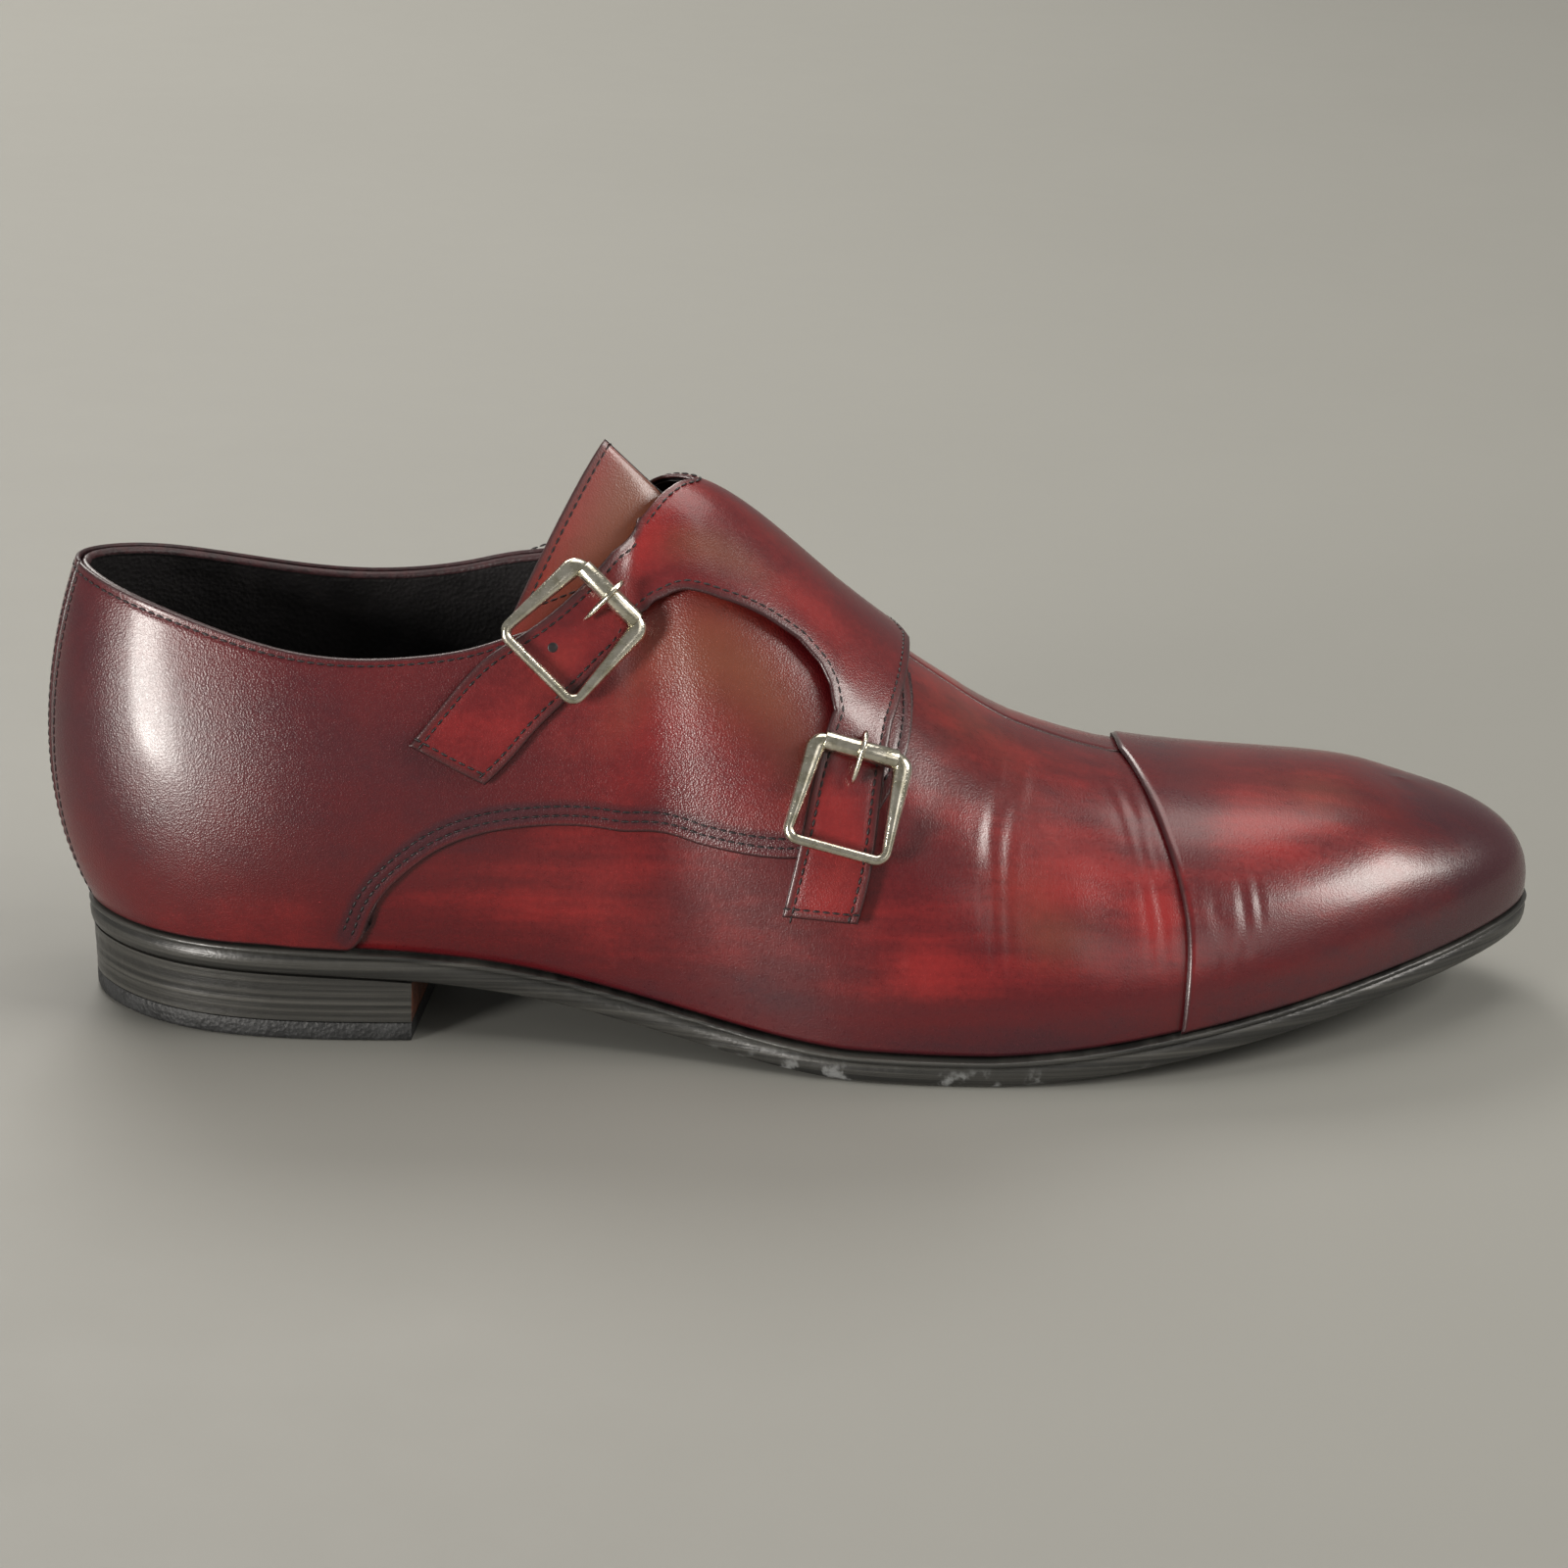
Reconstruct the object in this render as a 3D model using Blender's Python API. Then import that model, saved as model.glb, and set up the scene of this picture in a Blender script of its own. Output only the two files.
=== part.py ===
"""A man's double monk strap shoe for the right foot, empty and standing on its sole.

The shoe is built as its maker builds it. A last gives the form: ribs run from the feather edge,
where the upper meets the sole, to the top line or the ridge of the instep. Every leather piece is
cut in the last's own chart and laid on it at its own height, so all pieces follow the same form.
Toe to +X, outer side of the foot to -Y, up +Z, floor at Z = 0. Metres.
"""

import math

import bpy
import numpy as np
from mathutils import Matrix, Vector
from mathutils.kdtree import KDTree

# Driving sizes
LENGTH = 0.310
BALL_WIDTH = 0.100
INSTEP = 0.100
HEEL_HEIGHT = 0.0145
HEEL_LENGTH = 0.069
TOP_PIECE = 0.0040
SOLE_THICKNESS = 0.0055
SOLE_MARGIN = 0.0018
SOLE_BEAD = 0.0010
INSOLE_THICKNESS = 0.0018
WALL = 0.0015
OVERLAY = 0.0010
STRAP_THICKNESS = 0.0014
OVERLAY_GAP = 0.0004
STRAP_GAP = 0.0005
TONGUE_THICKNESS = 0.0014
CLEARANCE = 0.0003
SAME_PLACE = 0.00001
BUCKLE_WIDTH = 0.0215
BUCKLE_LENGTH = 0.0235
BUCKLE_BAR = 0.0034
BUCKLE_WIRE = 0.0022
BUCKLE_LIFT = 0.0007

# The last. A rib is a cubic Bezier curve from its foot on the feather edge to its top.
# foot_x, top_x are shares of LENGTH. foot_y, top_y, belly_out, crown_out are shares of BALL_WIDTH.
# top_rise (above the foot), belly_up, crown_up are shares of INSTEP. Belly and crown are the
# curve's two handles: from the foot, and from the top. The first rib is at the back of the heel.
RIB_COLUMNS = ("foot_x", "foot_y", "top_x", "top_y", "top_rise", "belly_out", "belly_up", "crown_out", "crown_up")
LATERAL_RIBS = (
    (0.036, 0.020, 0.028, 0.015, 0.725, 0.110, 0.20, 0.085, -0.26),
    (0.053, -0.115, 0.044, -0.085, 0.710, 0.105, 0.20, 0.085, -0.25),
    (0.096, -0.230, 0.084, -0.165, 0.675, 0.090, 0.20, 0.075, -0.24),
    (0.163, -0.285, 0.155, -0.225, 0.617, 0.080, 0.20, 0.080, -0.22),
    (0.258, -0.290, 0.245, -0.230, 0.618, 0.070, 0.18, 0.070, -0.20),
    (0.326, -0.295, 0.313, -0.210, 0.700, 0.070, 0.20, 0.080, -0.22),
    (0.387, -0.325, 0.371, -0.125, 0.875, 0.065, 0.27, 0.120, -0.18),
    (0.445, -0.375, 0.419, 0.010, 0.997, 0.040, 0.36, 0.185, 0.00),
    (0.516, -0.455, 0.503, 0.010, 0.845, 0.012, 0.36, 0.230, 0.00),
    (0.594, -0.492, 0.584, 0.015, 0.651, 0.010, 0.31, 0.270, 0.00),
    (0.671, -0.487, 0.665, 0.025, 0.502, 0.012, 0.26, 0.290, 0.00),
    (0.748, -0.442, 0.742, 0.040, 0.417, 0.015, 0.23, 0.270, 0.00),
    (0.826, -0.355, 0.812, 0.055, 0.362, 0.020, 0.21, 0.230, 0.00),
    (0.895, -0.240, 0.865, 0.070, 0.308, 0.020, 0.19, 0.190, 0.00),
    (0.953, -0.100, 0.893, 0.083, 0.258, 0.025, 0.16, 0.165, 0.00),
    (0.991, 0.090, 0.904, 0.090, 0.236, 0.025, 0.15, 0.160, 0.00),
)
MEDIAL_RIBS = (
    (0.053, 0.150, 0.044, 0.110, 0.715, 0.105, 0.20, 0.085, -0.25),
    (0.096, 0.260, 0.084, 0.190, 0.690, 0.095, 0.20, 0.075, -0.24),
    (0.163, 0.285, 0.155, 0.240, 0.645, 0.080, 0.20, 0.075, -0.22),
    (0.258, 0.255, 0.245, 0.240, 0.650, 0.090, 0.20, 0.070, -0.20),
    (0.326, 0.235, 0.313, 0.215, 0.730, 0.100, 0.22, 0.080, -0.22),
    (0.387, 0.245, 0.371, 0.140, 0.875, 0.095, 0.28, 0.115, -0.18),
    (0.445, 0.275, 0.419, 0.010, 0.997, 0.070, 0.38, 0.180, 0.00),
    (0.516, 0.340, 0.503, 0.010, 0.845, 0.040, 0.36, 0.215, 0.00),
    (0.594, 0.410, 0.584, 0.015, 0.651, 0.020, 0.31, 0.265, 0.00),
    (0.671, 0.455, 0.665, 0.025, 0.502, 0.012, 0.26, 0.290, 0.00),
    (0.748, 0.460, 0.742, 0.040, 0.417, 0.015, 0.23, 0.270, 0.00),
    (0.826, 0.430, 0.812, 0.055, 0.362, 0.020, 0.21, 0.230, 0.00),
    (0.899, 0.370, 0.865, 0.070, 0.308, 0.020, 0.19, 0.190, 0.00),
    (0.957, 0.265, 0.893, 0.083, 0.258, 0.025, 0.16, 0.165, 0.00),
)
# Height of the feather edge above the floor: x is a share of LENGTH, and rise, above the
# sole's own thickness, a share of HEEL_HEIGHT. The ball dips a hair and is cut off flat.
RISE_COLUMNS = ("x", "rise")
FEATHER_RISE = (
    (0.00, 1.00),
    (0.13, 1.01),
    (0.26, 0.89),
    (0.34, 0.64),
    (0.40, 0.38),
    (0.46, 0.14),
    (0.52, 0.01),
    (0.59, -0.02),
    (0.66, 0.05),
    (0.75, 0.28),
    (0.83, 0.54),
    (0.90, 0.79),
    (1.00, 1.08),
)
RIDGE_RIB = 7
COLLAR_RIB = 6
RIDGE_END = 0.90

# Places on the last's chart: s from heel 0 to toe 1, c from the ridge or top line 0 to the
# lateral feather edge 1 or the medial one -1. At the top itself c keeps a hair, for its sign.
HAIR = 1e-7
BACK_SEAM = 0.012
SEAM_GAP = 0.0012
THROAT_BACK = 0.295
THROAT_FRONT = 0.560
THROAT = 0.20
QUARTER_TOP_FRONT = 0.05
CAP_COLUMNS = ("c", "s")
CAP_EDGE = ((-1.0, 0.715), (-0.6, 0.700), (0.0, 0.692), (0.4, 0.704), (0.7, 0.717), (1.0, 0.718))
# The lower edge of a quarter and the place of its top edge above, from the back seam forward.
QUARTER_COLUMNS = ("low_s", "low_c", "top_s")
LATERAL_QUARTER = (
    (0.060, 1.000, 0.060),
    (0.120, 1.000, 0.120),
    (0.165, 1.000, 0.170),
    (0.199, 1.000, 0.215),
    (0.214, 0.835, 0.240),
    (0.234, 0.690, 0.265),
    (0.262, 0.585, 0.290),
    (0.300, 0.533, 0.320),
    (0.345, 0.566, 0.350),
    (0.393, 0.665, 0.385),
    (0.437, 0.710, 0.415),
    (0.478, 0.697, 0.440),
    (0.515, 0.630, 0.470),
    (0.541, 0.508, 0.500),
    (0.555, 0.380, 0.525),
    (0.560, 0.250, 0.542),
    (0.558, 0.120, 0.553),
)
MEDIAL_QUARTER = (
    (0.060, 1.000, 0.060),
    (0.120, 1.000, 0.120),
    (0.165, 1.000, 0.170),
    (0.202, 1.000, 0.215),
    (0.217, 0.825, 0.240),
    (0.238, 0.705, 0.265),
    (0.265, 0.610, 0.290),
    (0.300, 0.560, 0.320),
    (0.345, 0.570, 0.350),
    (0.400, 0.620, 0.385),
    (0.445, 0.640, 0.415),
    (0.480, 0.630, 0.440),
    (0.515, 0.570, 0.470),
    (0.540, 0.460, 0.500),
    (0.553, 0.350, 0.525),
    (0.558, 0.240, 0.542),
    (0.556, 0.120, 0.553),
)
# The flap across the instep: its rear and front edges, from the medial side to the ridge.
FLAP_COLUMNS = ("rear_s", "rear_c", "front_s", "front_c")
FLAP = (
    (0.350, -0.440, 0.530, -0.440),
    (0.362, -0.300, 0.545, -0.300),
    (0.392, -0.140, 0.553, -0.150),
    (0.432, 0.000, 0.556, 0.000),
)
# The flap's lateral end: across the root of the rear strap, round the cut-out, across the front
# strap's root. share is the place between rear and front edge.
END_COLUMNS = ("share", "s", "c")
REAR_ROOT = 0.30
FRONT_ROOT = 0.75
FLAP_END = (
    (0.00, 0.352, 0.008),
    (REAR_ROOT, 0.393, 0.300),
    (0.35, 0.405, 0.328),
    (0.39, 0.418, 0.328),
    (0.44, 0.434, 0.318),
    (0.50, 0.453, 0.323),
    (0.56, 0.475, 0.315),
    (0.62, 0.492, 0.314),
    (0.67, 0.503, 0.332),
    (0.71, 0.508, 0.360),
    (FRONT_ROOT, 0.510, 0.405),
    (1.00, 0.545, 0.345),
)
# The end's rear edge, from the ridge down to the rear strap's root.
FLAP_REAR = (
    (0.00, 0.432, 0.000),
    (0.15, 0.424, 0.045),
    (0.32, 0.413, 0.092),
    (0.50, 0.400, 0.080),
    (0.62, 0.391, 0.042),
    (0.74, 0.381, 0.010),
    (0.87, 0.367, 0.004),
    (1.00, 0.352, 0.008),
)
# How far the end's front edge swells forwards between its corners.
FLAP_SWELL = 0.004
# Each strap's edges from its root to its tip.
STRAP_COLUMNS = ("rear_s", "rear_c", "front_s", "front_c")
REAR_STRAP = (
    (0.352, 0.008, 0.393, 0.300),
    (0.322, 0.015, 0.363, 0.270),
    (0.297, 0.035, 0.336, 0.275),
    (0.270, 0.140, 0.313, 0.325),
    (0.245, 0.270, 0.291, 0.395),
)
FRONT_STRAP = (
    (0.510, 0.405, 0.545, 0.345),
    (0.497, 0.560, 0.537, 0.510),
    (0.485, 0.695, 0.528, 0.675),
    (0.475, 0.785, 0.520, 0.757),
)
# Buckles: where the thick and the thin bar cross the strap's middle.
REAR_BUCKLE = ((0.372, 0.130), (0.317, 0.150))
FRONT_BUCKLE = ((0.524, 0.455), (0.507, 0.660))
TONGUE_HALF = 0.24
TONGUE_ROOT = 0.58
# From the collar's end to the tip and to its lateral and medial corners.
TONGUE_TIP = (-0.0156, 0, 0.0148)
LATERAL_CORNER = (-0.0372, -0.0109, -0.0165)
MEDIAL_CORNER = (-0.0200, 0.0040, -0.0120)
TONGUE_SINK = 0.0018
TONGUE_ROUND = 0.2
BREAST_SKEW = math.radians(8)
HEEL_TAPER = 0.0006


def column(table, names, name):
    return np.array([row[names.index(name)] for row in table], float)


def cubic_spline(knots, values, at, period=None):
    """A cubic through the values whose slope and bend are continuous, closed where period is given."""
    knots = np.asarray(knots, float)
    values = np.asarray(values, float).reshape(len(knots), -1)
    at = np.asarray(at, float)
    count = len(knots)
    steps = np.diff(knots)
    slopes = np.diff(values, axis=0) / steps[:, None]
    system = np.eye(count)
    right = np.zeros_like(values)
    for i in range(1, count - 1):
        system[i, i - 1 : i + 2] = steps[i - 1], 2 * (steps[i - 1] + steps[i]), steps[i]
        right[i] = 6 * (slopes[i] - slopes[i - 1])
    if period is not None:
        system[0] = 0
        system[0, :2] = 2 * (steps[-1] + steps[0]), steps[0]
        system[0, count - 2] = steps[-1]
        right[0] = 6 * (slopes[0] - slopes[-1])
        system[-1] = 0
        system[-1, 0] = 1
        system[-1, -1] = -1
        at = knots[0] + np.mod(at - knots[0], period)
    bends = np.linalg.solve(system, right)
    i = np.clip(np.searchsorted(knots, at, side="right") - 1, 0, count - 2)
    step = steps[i][..., None]
    ahead = (np.clip(at, knots[0], knots[-1]) - knots[i])[..., None] / step
    back = 1 - ahead
    curve = ((back**3 - back) * bends[i] + (ahead**3 - ahead) * bends[i + 1]) * step**2 / 6
    return back * values[i] + ahead * values[i + 1] + curve


def smooth_step(x):
    x = np.clip(x, 0, 1)
    return x * x * (3 - 2 * x)


def unit(v):
    return v / np.linalg.norm(v, axis=-1, keepdims=True)


RIB_SCALE = np.array((LENGTH, BALL_WIDTH, LENGTH, BALL_WIDTH, INSTEP, BALL_WIDTH, INSTEP, BALL_WIDTH, INSTEP))
RIBS = np.array(LATERAL_RIBS + MEDIAL_RIBS[::-1] + LATERAL_RIBS[:1]) * RIB_SCALE
LAST_RIB = len(LATERAL_RIBS) - 1


def rib_knots():
    """Each rib's place round the loop: 0 at the heel, 1 at the toe, 2 at the heel again."""
    gaps = np.linalg.norm(np.diff(RIBS[:, :2], axis=0), axis=1)
    gaps = (gaps[:LAST_RIB] + gaps[LAST_RIB:][::-1]) / 2
    along = np.concatenate(([0], np.cumsum(gaps))) / gaps.sum()
    return np.concatenate((along, 2 - along[-2::-1]))


KNOTS = rib_knots()
RIDGE_START = KNOTS[RIDGE_RIB]
COLLAR_END = KNOTS[COLLAR_RIB]


def feather_height(x):
    """Height of the top of the sole above the floor at a distance x from the heel's back."""
    knots = column(FEATHER_RISE, RISE_COLUMNS, "x") * LENGTH
    rise = cubic_spline(knots, column(FEATHER_RISE, RISE_COLUMNS, "rise"), x)[..., 0]
    return SOLE_THICKNESS + HEEL_HEIGHT * np.maximum(rise, 0)


def ribs_at(w):
    """Foot, belly handle, crown handle and top of the ribs at the places w, and their plan normals."""
    w = np.asarray(w, float)
    rib = cubic_spline(KNOTS, RIBS, w, 2)
    mirror = cubic_spline(KNOTS, RIBS, 2 - w, 2)
    small = 1e-4
    after = cubic_spline(KNOTS, RIBS, w + small, 2)
    before = cubic_spline(KNOTS, RIBS, w - small, 2)
    along = after[..., :2] - before[..., :2]
    out = unit(np.stack((along[..., 1], -along[..., 0]), -1))
    foot_z = feather_height(rib[..., 0]) + CLEARANCE
    foot = np.concatenate((rib[..., :2], foot_z[..., None]), -1)
    s = 1 - np.abs(1 - np.mod(w, 2))
    apart = 1 - smooth_step((s - COLLAR_END) / (RIDGE_START - COLLAR_END))
    top = top_of(rib)
    other = top_of(mirror)
    top = (top + other) / 2 + (top - other) / 2 * apart[..., None]
    slope = ridge_slope(s) * (1 - apart)
    belly_out, belly_up, crown_out, crown_up = (rib[..., i] for i in range(5, 9))
    belly = foot + np.concatenate((out * belly_out[..., None], belly_up[..., None]), -1)
    crown_z = crown_up * apart + slope * out[..., 0] * crown_out
    crown = top + np.concatenate((out * crown_out[..., None], crown_z[..., None]), -1)
    return foot, belly, crown, top, out


def top_of(rib):
    top_z = feather_height(rib[..., 0]) + CLEARANCE + rib[..., 4]
    return np.concatenate((rib[..., 2:4], top_z[..., None]), -1)


def ridge_slope(s):
    """How fast the ridge rises towards the toe. It falls all the way, and is held near its end."""
    small = 1e-3
    s = np.clip(s, COLLAR_END, RIDGE_END)
    after = top_of(cubic_spline(KNOTS, RIBS, s + small, 2))
    before = top_of(cubic_spline(KNOTS, RIBS, s - small, 2))
    return np.minimum((after[..., 2] - before[..., 2]) / (after[..., 0] - before[..., 0]), 0)


def bezier(foot, belly, crown, top, v):
    v = np.asarray(v, float)[..., None]
    u = 1 - v
    return foot * u**3 + 3 * belly * v * u**2 + 3 * crown * v**2 * u + top * v**3


def normal_at(w, v):
    """The last's outward normal, level at the feather edge, from differences along and up."""
    small = 1e-3
    v = np.clip(v, 0, 0.985)
    along = bezier(*ribs_at(w + small)[:4], v) - bezier(*ribs_at(w - small)[:4], v)
    here = ribs_at(w)
    up = bezier(*here[:4], v + small) - bezier(*here[:4], v)
    normal = unit(np.cross(along, up))
    level = np.concatenate((here[4], np.zeros_like(here[4][..., :1])), -1)
    share = smooth_step(v / 0.10)[..., None]
    return unit(level * (1 - share) + normal * share)


def last_point(s, c, lift):
    """A point over the last. s runs from heel 0 to toe 1. c is 0 at the top or ridge, 1 at the
    lateral feather edge and -1 at the medial one. lift is its height over the last's surface."""
    s, c, lift = np.broadcast_arrays(np.asarray(s, float), np.asarray(c, float), lift)
    w = np.where(c >= 0, s, 2 - s)
    v = 1 - np.abs(c)
    normal = normal_at(w, v)
    on_ridge = (np.abs(c) <= HAIR) & (s >= RIDGE_START - HAIR)
    normal = np.where(on_ridge[..., None], unit(normal + normal_at(2 - w, v)), normal)
    return bezier(*ribs_at(w)[:4], v) + normal * lift[..., None]


def throat_edge(s):
    """Half the throat opening under the flap, as a share of a rib: a smooth hump along s."""
    along = np.clip((s - THROAT_BACK) / (THROAT_FRONT - THROAT_BACK), 0, 1)
    return THROAT * np.sin(math.pi * along) ** 2


def rows(table, count):
    """Smooth rows through a short table, crowding a little at both its ends."""
    table = np.asarray(table, float)
    steps = np.linalg.norm(np.diff(table, axis=0) * np.resize((3, 1), table.shape[1]), axis=1)
    knots = np.concatenate(([0], np.cumsum(steps)))
    return cubic_spline(knots, table, knots[-1] * smooth_ends(count))


def new_object(name, vertices, faces, material):
    mesh = bpy.data.meshes.new(name)
    mesh.from_pydata([tuple(v) for v in vertices], [], [tuple(f) for f in faces])
    mesh.validate()
    obj = bpy.data.objects.new(name, mesh)
    return finish(obj, material)


def finish(obj, material):
    """Names the collection and finish of a piece, puts it over the origin and smooths its round faces."""
    obj.location = ORIGIN
    obj.data.materials.append(material)
    if obj.name not in shoe.objects:
        shoe.objects.link(obj)
    if obj.type == "MESH":
        obj.data.shade_smooth()
        obj.data.set_sharp_from_angle(angle=math.radians(40))
    return obj


def grid_faces(count_i, count_j, start, flip):
    """Quads over a grid of points, turned over where flip is set."""
    i, j = np.meshgrid(np.arange(count_i - 1), np.arange(count_j - 1), indexing="ij")
    first = start + i * count_j + j
    quads = np.stack((first, first + 1, first + count_j + 1, first + count_j), -1).reshape(-1, 4)
    return quads[:, ::-1] if flip else quads


def merged(points, faces):
    """The points to keep, with any that coincide made one, and the faces on them."""
    tree = KDTree(len(points))
    for i, point in enumerate(points):
        tree.insert(point, i)
    tree.balance()
    same = [min(i for _, i, _ in tree.find_range(point, SAME_PLACE)) for point in points]
    keep = sorted(set(same))
    index = {old: new for new, old in enumerate(keep)}
    faces = [list(dict.fromkeys(index[same[i]] for i in face)) for face in faces]
    return keep, [face for face in faces if len(face) > 2]


def closed_solid(name, outer, inner, faces, material):
    """A wall between two layers of points: equal points are made one, and the rims are closed."""
    first, faces = merged(outer, faces)
    edges = {(a, b) for face in faces for a, b in zip(face, face[1:] + face[:1])}
    count = len(first)
    sides = [(b, a, a + count, b + count) for a, b in edges if (b, a) not in edges]
    under = [[i + count for i in face[::-1]] for face in faces]
    points = np.concatenate((outer[first], inner[first]))
    return new_object(name, points, faces + under + sides, material)


def leather(name, patches, low, thickness, material):
    """A leather piece cut in the last's chart and laid on it, its underside at the height low."""
    outer, inner, faces = [], [], []
    for s, c in patches:
        start = sum(len(points) for points in outer)
        turn = np.gradient(s, axis=0) * np.gradient(c, axis=1) - np.gradient(s, axis=1) * np.gradient(c, axis=0)
        faces.extend(grid_faces(*s.shape, start, turn.sum() < 0))
        outer.append(last_point(s, c, low + thickness).reshape(-1, 3))
        inner.append(last_point(s, c, low).reshape(-1, 3))
    return closed_solid(name, np.concatenate(outer), np.concatenate(inner), faces, material)


def side_patch(side, count_s, count_c):
    """One side of the upper, from the feather edge to the top line, the throat or the ridge."""
    s, v = np.meshgrid(smooth_ends(count_s), np.linspace(0, 1, count_c), indexing="ij")
    edge = throat_edge(s)
    return s, side * np.maximum(edge + (1 - edge) * v, HAIR)


def quarter_patch(side, table, seam, count_along, count_up):
    """A quarter from the back seam to its front edge, between its lower and its top edge."""
    first = (seam, 1.0, seam)
    along = rows((first,) + table, count_along)
    up = np.linspace(0, 1, count_up)[None, :]
    low_s, low_c, top_s = (along[:, i : i + 1] for i in range(3))
    top_c = throat_edge(top_s) + QUARTER_TOP_FRONT * smooth_step((top_s - COLLAR_END) / 0.1)
    s = low_s + (top_s - low_s) * up
    c = np.minimum(low_c, 1) + (top_c - np.minimum(low_c, 1)) * up
    return s, side * np.maximum(c, HAIR)


def ribbon_patch(table, across, count):
    """A strap or flap between its two edges, across being the shares of its width."""
    along = rows(table, count)
    across = np.asarray(across)[None, :]
    s = along[:, 0:1] + (along[:, 2:3] - along[:, 0:1]) * across
    c = along[:, 1:2] + (along[:, 3:4] - along[:, 1:2]) * across
    return s, c


def flap_end_patch(across, count):
    """The flap from the ridge to its lateral end, filled in between its four edges."""
    share = column(FLAP_END, END_COLUMNS, "share")
    ends = np.array([row[1:] for row in FLAP_END])
    end = np.stack([np.interp(across, share, ends[:, i]) for i in range(2)], -1)
    down = np.linspace(0, 1, count)
    rears = np.array([row[1:] for row in FLAP_REAR])
    rear = cubic_spline(column(FLAP_REAR, END_COLUMNS, "share"), rears, down)[:, None]
    rear = np.maximum(rear, HAIR)
    ridge_rear = rears[0]
    ridge_front = np.array(FLAP[-1][2:])
    b = down[:, None, None]
    a = np.asarray(across)[None, :, None]
    ridge = ridge_rear + (ridge_front - ridge_rear) * a
    front = ridge_front + (end[-1] - ridge_front) * b + np.array((FLAP_SWELL, 0)) * (4 * b * (1 - b))
    corners = (1 - a) * ((1 - b) * ridge_rear + b * end[0]) + a * ((1 - b) * ridge_front + b * end[-1])
    patch = (1 - b) * ridge + b * end[None] + (1 - a) * rear + a * front - corners
    return patch[..., 0], patch[..., 1]


def build_upper():
    patches = [side_patch(1, 53, 10), side_patch(-1, 53, 10)]
    leather("upper", patches, -WALL, WALL, burgundy)


def build_overlays():
    c, a = np.meshgrid(np.linspace(-1, 1, 21), 1 - np.linspace(1, 0, 12) ** 1.4, indexing="ij")
    edge = cubic_spline(column(CAP_EDGE, CAP_COLUMNS, "c"), column(CAP_EDGE, CAP_COLUMNS, "s"), c)[..., 0]
    leather("toe_cap", [(edge + (1 - edge) * a, c)], OVERLAY_GAP, OVERLAY, burgundy)
    lateral = quarter_patch(1, LATERAL_QUARTER, BACK_SEAM + SEAM_GAP, 44, 10)
    medial = quarter_patch(-1, MEDIAL_QUARTER, -BACK_SEAM, 44, 10)
    leather("lateral_quarter", [lateral], OVERLAY_GAP, OVERLAY, burgundy)
    leather("medial_quarter", [medial], OVERLAY_GAP, OVERLAY, burgundy)


def build_flap():
    rear = np.linspace(0, REAR_ROOT, 5)
    gap = np.linspace(REAR_ROOT, FRONT_ROOT, 8)
    front = np.linspace(FRONT_ROOT, 1, 5)
    across = np.concatenate((rear, gap[1:-1], front))
    patches = [
        ribbon_patch(FLAP, across, 12),
        flap_end_patch(across, 9),
        ribbon_patch(REAR_STRAP, rear / REAR_ROOT, 8),
        ribbon_patch(FRONT_STRAP, (front - FRONT_ROOT) / (1 - FRONT_ROOT), 8),
    ]
    low = OVERLAY_GAP + OVERLAY + STRAP_GAP
    leather("strap_flap", patches, low, STRAP_THICKNESS, burgundy)


def build_tongue():
    """The tongue lies under the throat, and carries on past the collar's end to its tip."""
    low = -WALL - 2 * CLEARANCE - TONGUE_THICKNESS
    b = np.linspace(-1, 1, 11)
    s = np.linspace(TONGUE_ROOT, RIDGE_START, 7)
    s, c = np.meshgrid(s, b * TONGUE_HALF, indexing="ij")
    sink = TONGUE_SINK * smooth_step((TONGUE_ROOT - s) / (TONGUE_ROOT - RIDGE_START))
    reach = np.linspace(0, 1, 5)[1:, None, None]
    spread = (np.hypot(b, TONGUE_ROUND) - TONGUE_ROUND) / (math.hypot(1, TONGUE_ROUND) - TONGUE_ROUND)
    spread = spread[:, None]
    corner = np.where(b[:, None] > 0, LATERAL_CORNER, MEDIAL_CORNER)
    out = (np.array(TONGUE_TIP) * (1 - spread) + corner * spread)[None] * reach
    layers = []
    for lift in (low + TONGUE_THICKNESS, low):
        body = last_point(s, c, lift - sink)
        layers.append(np.concatenate((body, body[-1:] + out)).reshape(-1, 3))
    count = len(s) + len(reach)
    faces = grid_faces(count, len(b), 0, True)
    closed_solid("tongue", layers[0], layers[1], faces, burgundy)


def outline(w, out):
    """Points in plan round the feather edge, moved outwards."""
    foot, _, _, _, normal = ribs_at(w)
    return foot[..., :2] + normal * out


def plate(name, stations, levels, material):
    """A solid under the foot. stations are pairs of places on the lateral and medial side; levels
    give, from top to bottom, how far out the edge is and the height at an x."""
    rings = []
    for out, height in levels:
        sides = []
        for w in (stations[0], 2 - stations[1]):
            plan = outline(w, out)
            sides.append(np.concatenate((plan, height(plan[:, 0])[:, None]), -1))
        rings.append(np.concatenate((sides[0], sides[1][::-1])))
    count = len(stations[0])
    ring = 2 * count
    points = np.concatenate(rings)
    faces = []
    for level in range(len(levels) - 1):
        for i in range(ring):
            a, b = level * ring + i, level * ring + (i + 1) % ring
            faces.append((a, a + ring, b + ring, b))
    for level, turn in ((0, 1), (len(levels) - 1, -1)):
        for i in range(count - 1):
            a, b = level * ring + i, level * ring + ring - 1 - i
            faces.append((a, a + 1, b - 1, b)[::turn])
    first, faces = merged(points, faces)
    return new_object(name, points[first], faces, material)


def place_at(x, side):
    """The place on the last whose foot is at the distance x along the given side."""
    s = np.linspace(0, 0.5, 400)
    foot_x = outline(s if side > 0 else 2 - s, 0)[:, 0]
    return np.interp(x, foot_x, s)


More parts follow.
